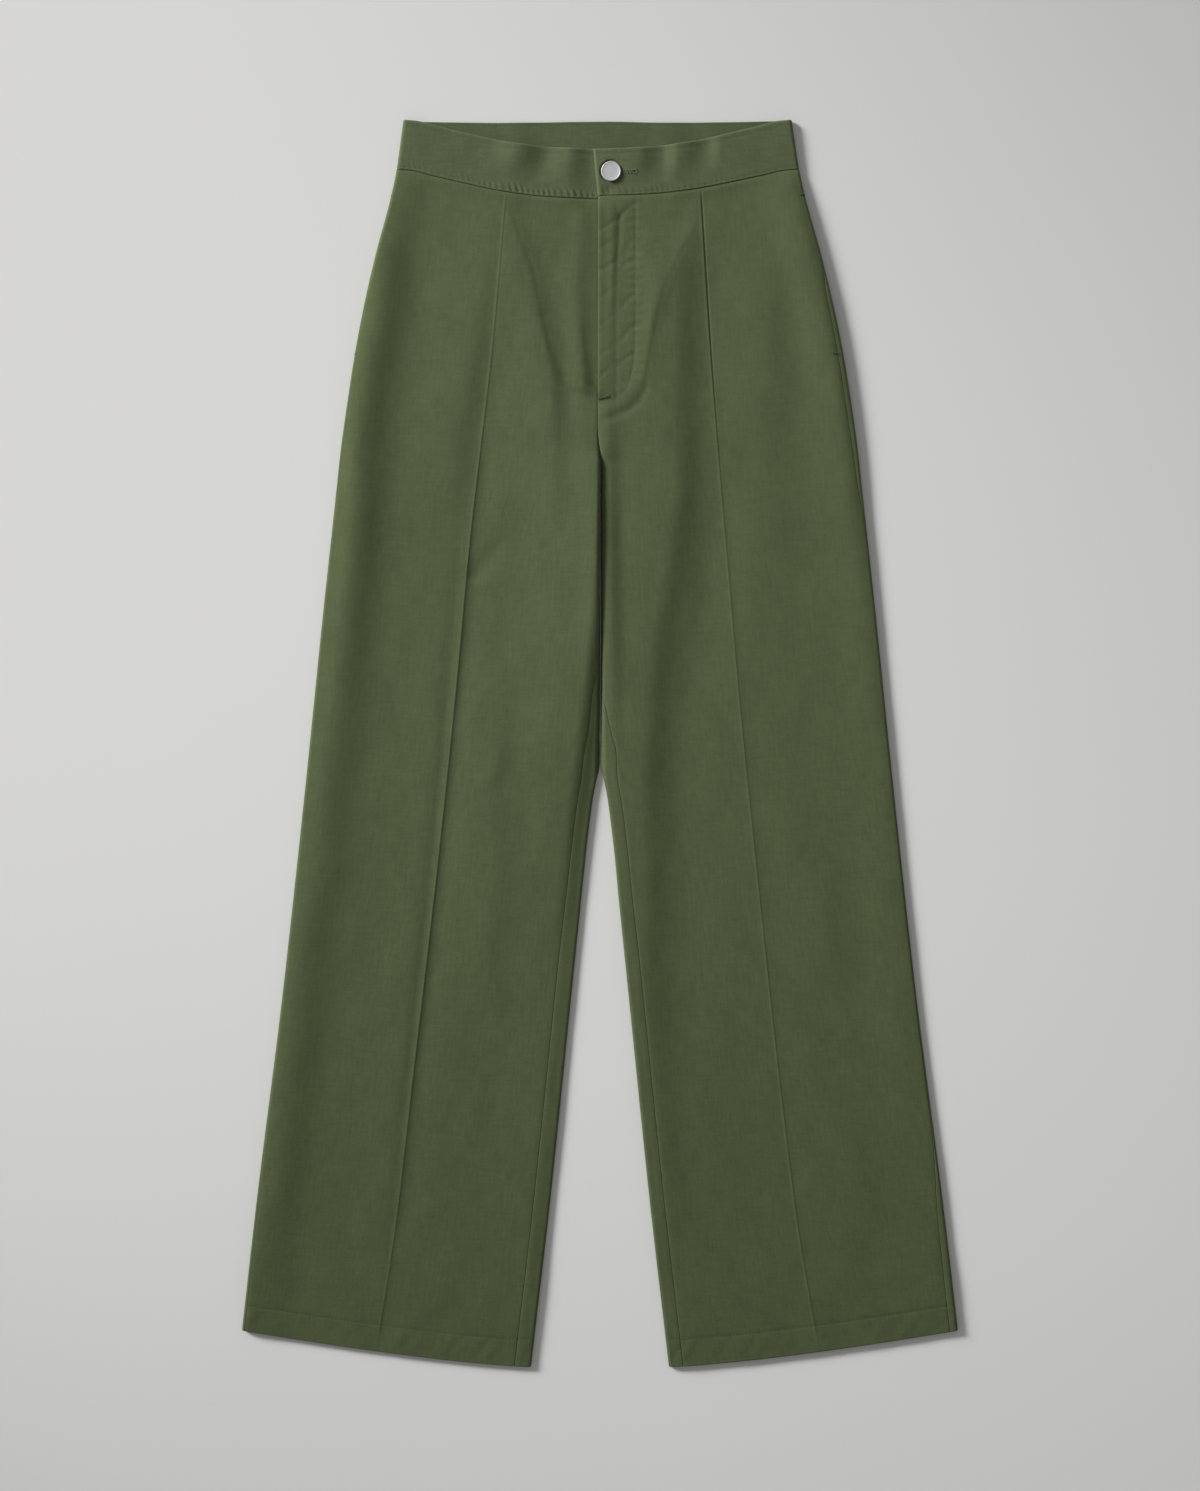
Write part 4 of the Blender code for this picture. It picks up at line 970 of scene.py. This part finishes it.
def bandHeight(side, x, share):
    height = bandLevel(side, x, share)
    up, fromTop = (1 - share) * band["width"], share * band["width"]
    phase = ((x + bandRelief["slant"] * up + 1.3 * np.sin(x / 9)) / bandRelief["spacing"]) % 1
    slow = bandRelief["slow"]
    tooth = np.minimum(phase / slow, (1 - phase) / (1 - slow)) - 0.5  # rises slowly and falls fast
    uneven = (1 + 0.35 * np.sin(x / 4.1 + 1)) * (0.25 + 0.75 * ramp(bandRelief["calmEnds"], np.abs(x)))
    fade = bump(np.maximum(up - bandRelief["puckerUp"], 0), 3.4 + 1.4 * np.sin(x / 7.3))
    height = height + bandRelief["pucker"][side] * uneven * tooth * fade * ramp(bandRelief["puckerStart"], up)
    if side == left:
        height = height - bandRelief["underButton"] * bump(x - 7, 5) * bump(up - 4.5, 4.5)
    height = height - bandRelief["dimple"] * bump(up - bandRelief["stitchUp"], bandRelief["dimpleWidth"])
    for away, width, sign in bandRelief["ridges"]:
        height = height + sign * bandRelief["edgeRidge"] * bump(fromTop - away, width)
    long = np.sin(x / 5.3 + 0.7 * np.sin(x / 17) + fromTop / 19)
    height = height + bandRelief["ripple"] * long * bump(fromTop - 14, 16)
    return height - (pressed(x, share) + lapRoll(x, share) if side == left else 0)


def lapRoll(x, share):  # the lap's folded edge is rounded
    return lap["roll"] * (1 - ramp(lap["rollWidth"], x - mix(*band["lapEdge"], share)))


def pressed(x, share):  # the cloth gives under the button's rim
    across, drop = button["at"]
    reach = np.hypot(x - across, lapDrop(share) - drop)
    return lap["press"] * bump(reach - button["radius"] - lap["pressPast"], lap["pressWidth"])


def bandDrop(side, x, share, topDip, seamDip):
    drop = share * band["width"]
    way = np.abs(x - outerEdge(side, drop)) / np.abs(innerEdge(side, drop) - outerEdge(side, drop))
    return drop + mix(topDip, seamDip, share) * curve(dips, "depth", clamp(way))


def bandRows(finer=False):
    edge, width, step = np.array(legGrid["edge"]), band["width"], bandGrid["rowStep"]
    middle = steps(2.7, width - 10, step)
    if finer:  # round the button
        middle = np.concatenate([steps(2.7, 9, step)[:-1], steps(9, width - 10, bandGrid["buttonStep"])])
    middle = np.concatenate([middle[:-1], steps(width - 10, width - 2.7, bandGrid["seamStep"])])
    return np.concatenate([edge, middle, width - edge[::-1]])[:, None] / width


def bandFront(side):
    share, edge, radius = bandRows(side == left), np.array(legGrid["edge"]), band["radius"]
    turn = math.pi / 2 - garment["seam"] / 2 / radius
    angle = turn * np.linspace(1, 0, bandGrid["foldColumns"])[:-1] + 0 * share
    start = outerEdge(side, share * band["width"])
    xFold = start - side * radius * (1 - np.sin(angle))
    last = mix(*band["lapEdge"], share) if side == left else band["underlapEnd"] + 0 * share
    columns, lapFrom = bandGrid["columns"], bandGrid["lapFrom"]
    between = steps(0, columns, bandGrid["columnStep"]) / columns
    if side == left:
        outer = steps(0, lapFrom, bandGrid["columnStep"])[:-1]
        between = np.concatenate([outer, steps(lapFrom, columns, bandGrid["lapStep"])]) / columns
    xTop = mix(start - side * radius, last + side * edge[-1], between)
    xTop = np.concatenate([xTop, last + side * edge[::-1][1:]], 1)
    x = np.concatenate([xFold, xTop], 1)
    crown = bandHeight(side, start - side * radius, share)
    z = np.concatenate([crown / 2 * (1 + np.cos(angle)), bandHeight(side, xTop, share)], 1)
    drop = bandDrop(side, x, share, band["dip"], garment["seamDip"][side])
    paled, wall = paling("bandTop", share * band["width"]), band["cloth"]
    if side == left:
        # the lap's end is paled by wear and also by painted highlight, on the side that faces the light
        paled = paled + paling("bandLap", x - last)
        wall = wall - (pressed(x, share) + lapRoll(x, share))
    straight = x.shape[1] // 2
    return shell("bandFront" + sideName(side).title(), x, drop, z, wall, -side, straight, paled, turned=True)


# The back's upper edge lies a little lower between the corners
backTop = table(
    "x dip", (-174, 0), (-158, 1.4), (-100, 1.5), (-60, 0.9), (-20, 0.2), (8, 0), (60, 1), (110, 1.2),
    (155, 0.8), (172, 0))
facing = {
    "lift": 1.3,         # it lies on the outer ply
    "ripple": 2.0,
    "flat": (150, 9),    # it ripples between its ends
    "seam": (0.2, 2.6, 0.9),
    "pucker": (0.16, 3.4, 1.5),
    "spacing": 3.7,
    "stitchDrop": 2.5,
    "stitchEnds": (-168, 166),
    "sunk": 0.1,
}


def bandBack(name, movedIn, rippled):  # one ply of the back waistband, from side seam to side seam
    share, radius = bandRows(), band["radius"]
    fromTop, turn = share * band["width"], math.pi / 2 + garment["seam"] / 2 / radius
    paths = []
    for side in (right, left):
        angle = np.linspace(turn, math.pi, bandGrid["foldColumns"]) + 0 * share
        x = outerEdge(side, fromTop) - side * (radius - (radius - movedIn) * np.sin(angle))
        z = radius + (radius - movedIn) * np.cos(angle)
        paths.append((x, z) if side == right else (x[:, ::-1], z[:, ::-1]))
    (xRight, zRight), (xLeft, zLeft) = paths
    xFloor = mix(xRight[:, -1:], xLeft[:, :1], np.linspace(0, 1, bandGrid["backColumns"])[1:-1])
    x = np.concatenate([xRight, xFloor, xLeft], 1)
    z = np.concatenate([zRight, movedIn + 0 * xFloor, zLeft], 1)
    drop = backDrop(x, share) + curve(backTop, "dip", x) * (1 - ramp((0, 0.7), share))
    if rippled:
        reach, fade = facing["flat"]
        (seam, seamDrop, seamWidth), (pucker, puckerDrop, puckerWidth) = facing["seam"], facing["pucker"]
        relief = facing["ripple"] * curve(facingRipples, "height", x)
        relief = relief - seam * bump(fromTop - seamDrop, seamWidth)
        wave = np.sin(x * 2 * math.pi / facing["spacing"] + np.sin(x / 6))
        relief = relief + pucker * wave * bump(fromTop - puckerDrop, puckerWidth)
        z = z + bump(np.maximum(np.abs(x) - reach, 0), fade) * relief
    else:
        z = np.maximum(z, garment["underside"])
    paled = paling("facingTop", fromTop)
    return shell(name, x, drop, z, garment["cloth"], -1, x.shape[1] // 2, paled, turned=True)


def backDrop(x, share):
    dip = garment["backDip"]
    return np.where(x < 0, *(bandDrop(side, x, share, dip, dip) for side in (right, left)))


def sides(name, solid, make, finish):  # a piece for each side
    return [finished(name + sideName(side).title(), make(side), finish, [solid + "_" + sideName(side)])
            for side in (right, left)]


print("building the cloth")
# the band's and the facing's twills are the olive twill painted lighter, as painted light
oliveTwill, bandTwillPaintedLit, facingTwillPaintedLit = (twill(name) for name in twills)
frontRight, frontLeft = sides("front", "front", frontPanel, oliveTwill)
backRight, backLeft = sides("back", "back", backPanel, oliveTwill)
bandFrontRight, bandFrontLeft = sides("bandFront", "waistband_front", bandFront, bandTwillPaintedLit)
bandOuter = finished("bandBack", bandBack("bandBack", 0, False), bandTwillPaintedLit,
                     ["waistband_back"])
bandFacing = finished("bandFacing", bandBack("bandFacing", facing["lift"], True), facingTwillPaintedLit,
                      ["waistband_back_facing"])


def lapHeight():
    x, drop = button["at"]
    return float(bandLevel(left, np.array([x]), lapShare(drop))[0])


def turnedButton():
    radius, dish, shank, count = (button[name] for name in ("radius", "dish", "shank", "steps"))
    cap = lapHeight() + garment["seamGap"]
    crown, foot = cap + button["thickness"], lapHeight() - band["cloth"]
    inside = radius - button["rim"]
    profile = [
        (0, crown - dish), (inside * 0.5, crown - dish), (inside - 0.6, crown - dish - 0.04),
        (inside - 0.35, crown - dish * 0.9), (inside - 0.15, crown - dish * 0.3),
        (inside + 0.1, crown - 0.03), (inside + 0.3, crown), (radius - 0.38, crown - 0.05),
        (radius - 0.14, crown - 0.24), (radius, crown - 0.55), (radius, cap + 0.55),
        (radius - 0.2, cap + 0.2), (radius - 0.7, cap), (shank + 0.5, cap), (shank, cap - 0.3),
        (shank, foot), (0, foot)]
    x, drop = button["at"]
    shape = bmesh.new()
    rings = []
    for r, h in profile:
        turns = [2 * math.pi * k / count for k in range(count if r > 0 else 1)]
        places = [(x + r * math.cos(turn), toY(drop) + r * math.sin(turn), h) for turn in turns]
        rings.append([shape.verts.new([value * mm for value in place]) for place in places])
    for upper, lower in zip(rings, rings[1:]):
        for k in range(count):
            here, following = k, (k + 1) % count
            corners = [upper[here % len(upper)], lower[here % len(lower)], lower[following % len(lower)],
                       upper[following % len(upper)]]
            shape.faces.new(list(dict.fromkeys(corners)))
    bmesh.ops.recalc_face_normals(shape, faces=shape.faces)
    mesh = bmeshed(shape, bpy.data.meshes.new("waistButton"))
    mesh.shade_smooth()
    mesh.set_sharp_from_angle(angle=math.radians(button["sharp"]))
    return mesh


def cutButtonhole(piece):
    x, drop = button["at"]
    end, deep = button["holeEnd"] - button["eyelet"], button["cutDepth"]
    holes = (x, button["shank"] + garment["seamGap"]), (end, button["eyelet"]), ((x + end) / 2, 0)
    for centre, radius in holes:
        shape = bmesh.new()
        if radius:
            bmesh.ops.create_cone(shape, cap_ends=True, segments=32, radius1=radius * mm, radius2=radius * mm,
                                  depth=deep * mm)
        else:  # the slit from the shank's hole to the eyelet
            bmesh.ops.create_cube(shape, size=mm)
            bmesh.ops.scale(shape, verts=shape.verts, vec=(end - x, button["slit"], deep))
        bmesh.ops.translate(shape, verts=shape.verts, vec=(centre * mm, toY(drop) * mm, lapHeight() * mm))
        cutter = placed("cutter", bmeshed(shape, bpy.data.meshes.new("cutter")))
        cut = piece.modifiers.new("buttonhole", "BOOLEAN")
        cut.operation, cut.object, cut.solver = "DIFFERENCE", cutter, "EXACT"
        result = plainMesh(piece)
        piece.modifiers.clear()
        piece.data = result
        bpy.data.objects.remove(cutter)
    shape = bmesh.new()
    shape.from_mesh(piece.data)
    bmesh.ops.dissolve_degenerate(shape, edges=shape.edges, dist=button["weld"] * mm)
    bmesh.ops.triangulate(shape, faces=[face for face in shape.faces if len(face.verts) > 4])
    bmeshed(shape, piece.data)


cutButtonhole(bandFrontLeft)
finished("waistButton", turnedButton(), buttonMetal(), ["waist_button"])
print("button made")


def stitchTree(finish):  # repeats a small rounded stitch along a path
    tree = bpy.data.node_groups.new("stitch row", "GeometryNodeTree")
    sockets = {"Path": "Geometry", "Pitch": "Float", "Length": "Float", "Width": "Float", "Height": "Float",
               "Slant": "Float", "Wander": "Float", "Seed": "Int"}
    for name, kind in sockets.items():
        tree.interface.new_socket(name, in_out="INPUT", socket_type="NodeSocket" + kind)
    tree.interface.new_socket("Stitches", in_out="OUTPUT", socket_type="NodeSocketGeometry")
    given = tree.nodes.new("NodeGroupInput")
    inputs = {socket.name: Signal(socket) for socket in given.outputs}

    line = addNode(tree, "GeometryNodeMeshToCurve", {}, {"Mesh": inputs["Path"]})
    points = addNode(tree, "GeometryNodeCurveToPoints", {"mode": "LENGTH"},
                     {"Curve": line, "Length": inputs["Pitch"]})
    tangent = Signal(points.socket.node.outputs["Tangent"])
    turn = addNode(tree, "FunctionNodeAlignRotationToVector", {"axis": "X"}, {"Vector": tangent})
    turn = addNode(tree, "FunctionNodeAlignRotationToVector", {"axis": "Z", "pivot_axis": "X"},
                   {"Rotation": turn, "Vector": (0, 0, 1)})
    wander = addNode(tree, "FunctionNodeRandomValue", {"data_type": "FLOAT"},
                     {2: -1.0, 3: 1.0, "Seed": inputs["Seed"]}, 1)
    slant = addNode(tree, "ShaderNodeCombineXYZ", {}, {"Z": wander * inputs["Wander"] + inputs["Slant"]})
    spin = addNode(tree, "FunctionNodeEulerToRotation", {}, {"Euler": slant})
    turn = addNode(tree, "FunctionNodeRotateRotation", {"rotation_space": "LOCAL"},
                   {"Rotation": turn, "Rotate By": spin})
    size = addNode(tree, "ShaderNodeCombineXYZ", {}, {
        "X": inputs["Length"] * (wander * 0.12 + 1.0), "Y": inputs["Width"], "Z": inputs["Height"]})
    stitch = addNode(tree, "GeometryNodeMeshUVSphere", {}, {"Segments": 8, "Rings": 5, "Radius": 0.5})
    made = addNode(tree, "GeometryNodeInstanceOnPoints", {}, {
        "Points": points, "Instance": stitch, "Rotation": turn, "Scale": size})
    made = addNode(tree, "GeometryNodeRealizeInstances", {}, {"Geometry": made})
    made = addNode(tree, "GeometryNodeSetShadeSmooth", {}, {"Geometry": made})
    made = addNode(tree, "GeometryNodeSetMaterial", {}, {"Geometry": made, "Material": finish})
    tree.links.new(made.socket, tree.nodes.new("NodeGroupOutput").inputs[0])
    return tree


def stitched(name, paths, look):  # paths are lists of points on the cloth, in mm
    points, edges = [], []
    for path in paths:
        first = len(points)
        points += [(x * mm, y * mm, z * mm) for x, y, z in path]
        edges += [(first + k, first + k + 1) for k in range(len(path) - 1)]
    mesh = bpy.data.meshes.new(name + "Path")
    mesh.from_pydata(points, edges, [])
    holder = placed(name + "Path", mesh)
    made = holder.modifiers.new("stitches", "NODES")
    made.node_group = trees[look["thread"]]
    for socket in made.node_group.interface.items_tree:
        if socket.in_out == "INPUT" and socket.name in look:
            made[socket.identifier] = look[socket.name]
    result = plainMesh(holder)
    bpy.data.objects.remove(holder)
    return finished(name, result, threadFinishes[look["thread"]])


def row(pitch, length, width, height, slant=0.0, wander=0.1, seed=1, thread="sewing thread"):
    return {"thread": thread, "Pitch": pitch * mm, "Length": length * mm, "Width": width * mm,
            "Height": height * mm, "Slant": slant, "Wander": wander, "Seed": seed}


stitches = {
    # the hem's, the J curve's and the pocket bars' stitches are drawn dark, as painted shade
    "hem": row(2.9, 1.6, 0.85, 0.28, wander=0.1, seed=3, thread="painted shade thread"),
    "fly": row(2.7, 1.7, 0.5, 0.34, wander=0.12, seed=5, thread="pale thread"),
    "band": row(2.2, 1.3, 0.5, 0.36, slant=0.5, seed=7, thread="pale thread"),
    "bandPlain": row(3.0, 1.8, 0.5, 0.24, seed=8),
    "facing": row(3.7, 1.5, 0.45, 0.26, slant=0.3, wander=0.4, seed=9),
    "buttonhole": row(1.35, 2.2, 0.9, 0.9, slant=math.pi / 2, wander=0.25, seed=11, thread="pale thread"),
    "flyCurve": row(2.7, 1.7, 0.6, 0.3, wander=0.12, seed=4, thread="painted shade thread"),
    "knots": row(1.5, 1.7, 0.8, 0.5, slant=0.9, wander=0.9, seed=6, thread="pale thread"),
    "bartack": row(0.55, 3.2, 0.55, 0.9, slant=math.pi / 2, wander=0.2, seed=13),
    "pocketBar": row(0.42, 1.7, 0.45, 0.4, slant=math.pi / 2, wander=0.14, seed=15, thread="painted shade thread"),
}
# How far the stitches' middles lie off the cloth, and where the pocket's bars lie
lift = {"seam": 0.02, "bar": 0.17, "buttonhole": 0.08, "underside": 0.16}
pocketEnds = (68, 211)


def onFront(side, x, drop, up=lift["seam"]):
    return list(zip(x, toY(drop), frontHeight(side, x, drop, rowOf(side, x, drop)) + up))


def hemPaths(side):
    leg = Leg(side, np.array([[garment["sideLength"] - hem["stitchUp"]]]), garment["seamDip"][side])
    start = curve(sideSeams, sideName(side), leg.drop)[0, 0] + 1.2
    end = (leg.frontWidth() + leg.frontEndPast())[0, 0] - 1.2
    x, z = leg.front(np.linspace(start, end, 240)[None, :])
    top = list(zip(x[0], toY(leg.place(x))[0], z[0] + lift["seam"]))
    foot = np.abs(leg.inner - leg.outer)[0, 0] - 2 * leg.radius[0, 0]
    x = leg.outer + leg.inward * (leg.radius + np.linspace(0.5, foot, 60)[None, :])
    under = list(zip(x[0], toY(leg.place(x))[0], 0 * x[0] + lift["underside"]))
    return top, under


def onBand(side, x):
    share = 1 - np.full(x.shape, bandRelief["stitchUp"]) / band["width"]
    drop = bandDrop(side, x, share, band["dip"], garment["seamDip"][side])
    return list(zip(x, toY(drop), bandHeight(side, x, share) + lift["seam"]))


def onFacing(x):
    share = np.full(x.shape, facing["stitchDrop"] / band["width"])
    level = facing["lift"] + garment["cloth"] - facing["sunk"]
    level = level + facing["ripple"] * curve(facingRipples, "height", x)
    return list(zip(x, toY(backDrop(x, share) + curve(backTop, "dip", x)), level))


def smoothLine(points, count):
    rows = table("way x drop", *((k / (len(points) - 1), *point) for k, point in enumerate(points)))
    return np.array([curve(rows, name, np.linspace(0, 1, count)) for name in ("x", "drop")])


def pocketBar(side, drop):  # a bar across the side seam, at an end of the pocket
    leg = Leg(side, np.array([[drop]], float), garment["seamDip"][side])
    start = curve(sideSeams, sideName(side), leg.drop)[0, 0]
    start = start - 0.6 if side == left else start - 6.2  # the wearer's right one is round the fold
    x, z = leg.outside(np.linspace(start, start + 5.2, 12)[None, :])
    return list(zip(x[0], toY(leg.place(x))[0], np.maximum(z[0] + lift["seam"], 0.5)))


def buttonholePath():
    x, drop = button["at"]
    end, radius = button["holeEnd"] - button["eyelet"], button["eyelet"] + 0.8
    start, half = x + 8, button["slit"] / 2 + 0.8
    turn = [(end + radius * math.cos(a), -radius * math.sin(a)) for a in np.linspace(-2.5, 2.5, 26)]
    loop = [(start, half), (end - 3, half), *turn, (end - 3, -half), (start, -half)]
    points = [(mix(x0, x1, k / 6), mix(up0, up1, k / 6)) for (x0, up0), (x1, up1) in zip(loop, loop[1:])
              for k in range(6)]
    x, up = np.array(points).T
    height = bandHeight(left, x, lapShare(drop - up)) + lift["buttonhole"]
    return list(zip(x, toY(drop) + up, height))


print("sewing")
threadFinishes = {name: threadFinish(name) for name in threads}
trees = {name: stitchTree(finish) for name, finish in threadFinishes.items()}
flyLine = smoothLine(flyStitch["line"], flyStitch["points"])
flyTurn, flyKnots = flyStitch["turn"], slice(*flyStitch["knots"])
flyBar = onFront(left, np.linspace(-1.4, 8.2, 12), np.linspace(250.6, 248.8, 12), lift["bar"])
sewing = {
    "hemStitchesRight": (hemPaths(right), "hem", "olive_twill"),
    "hemStitchesLeft": (hemPaths(left), "hem", "olive_twill"),
    "flyStitches": ([onFront(left, *flyLine[:, :flyTurn])], "fly", "olive_twill"),
    "flyKnots": ([onFront(left, *flyLine[:, flyKnots])], "knots", "olive_twill"),
    "flyCurveStitches": ([onFront(left, *flyLine[:, flyTurn:])], "flyCurve", "olive_twill"),
    "bandStitchesRight": ([onBand(right, np.linspace(-174, -9, 240))], "band", "waistband_twill"),
    "bandStitchesLeft": ([onBand(left, np.linspace(174, 0, 240))], "bandPlain", "waistband_twill"),
    "buttonholeStitches": ([buttonholePath()], "buttonhole", "waistband_twill"),
    "flyBartack": ([flyBar], "bartack", "olive_twill"),
    "pocketBartacks": ([pocketBar(side, drop) for side in (right, left) for drop in pocketEnds], "pocketBar",
                       "olive_twill"),
    "facingStitches": ([onFacing(np.linspace(*facing["stitchEnds"], 300))], "facing", "facing_twill"),
}
sewn = {name: stitched(name, paths, stitches[look]) for name, (paths, look, slot) in sewing.items()}

# The hidden pieces stay as their solids, with a better finish
solids = {"pocketing": ("pocket_bag_right", "pocket_bag_left"), "fly shield twill": ("fly_shield",),
          "zip tape": ("fly_zip",)}
for name, nodes in solids.items():
    finish = plainCloth(name)
    for node in nodes:
        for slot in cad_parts[node].material_slots:
            slot.material = finish


studio = {
    "floor": (0.80, 0.797, 0.785),
    "floorReach": 4.0,
    "floorLevel": -0.0001,
    "keyFrom": (-4.3, 2.58, 1.66),
    "keyDistance": 4.7,
    "keyAim": (-1.08, 0.62, 0),
    "keySpread": 27.7,
    "keySize": 2.6,
    "keyPower": 23.1,
    "sky": 0.27,
    "cameraHeight": 4.0,  # above the middle of the cloth
    "clothMiddle": 0.004,
    "frameHeight": 1.3419,
    "lookDown": -0.0018,
    "filmHeight": 24.0,
}


def paleFloor():
    finish, tree = newFinish("pale floor")
    patch = cloud(tree, ownPlace(tree), 3.0, 2.0)
    surface(tree, between(tree, shades(studio["floor"], 0.985, 1.0), patch), 0.9, patch, {"bump": 0.0})
    return finish


reach, level = studio["floorReach"], studio["floorLevel"]
mesh = bpy.data.meshes.new("floor")
corners = [(-reach, -reach, level), (reach, -reach, level), (reach, reach, level), (-reach, reach, level)]
mesh.from_pydata(corners, [], [(0, 1, 2, 3)])
mesh.materials.append(paleFloor())
placed("floor", mesh)

key = bpy.data.lights.new("key", "AREA")
key.shape, key.size, key.energy = "DISK", studio["keySize"], studio["keyPower"]
key.spread = math.radians(studio["keySpread"])
lamp = placed("key", key)
lamp.location = np.array(studio["keyFrom"]) / np.linalg.norm(studio["keyFrom"]) * studio["keyDistance"]
lamp.rotation_euler = (lamp.location - Vector(studio["keyAim"])).to_track_quat("Z", "Y").to_euler()

world = bpy.data.worlds.new("studio")
world.use_nodes = True
world.node_tree.nodes["Background"].inputs["Color"].default_value = (1.0, 1.0, 1.0, 1)
world.node_tree.nodes["Background"].inputs["Strength"].default_value = studio["sky"]

lens = bpy.data.cameras.new("camera")
lens.sensor_fit, lens.sensor_height = "VERTICAL", studio["filmHeight"]
lens.lens = studio["filmHeight"] * studio["cameraHeight"] / studio["frameHeight"]
camera = placed("camera", lens)
camera.location = (0, studio["lookDown"], studio["cameraHeight"] + studio["clothMiddle"])
scene = bpy.context.scene
scene.world, scene.camera = world, camera
scene.view_settings.view_transform = "Standard"
print("studio set")
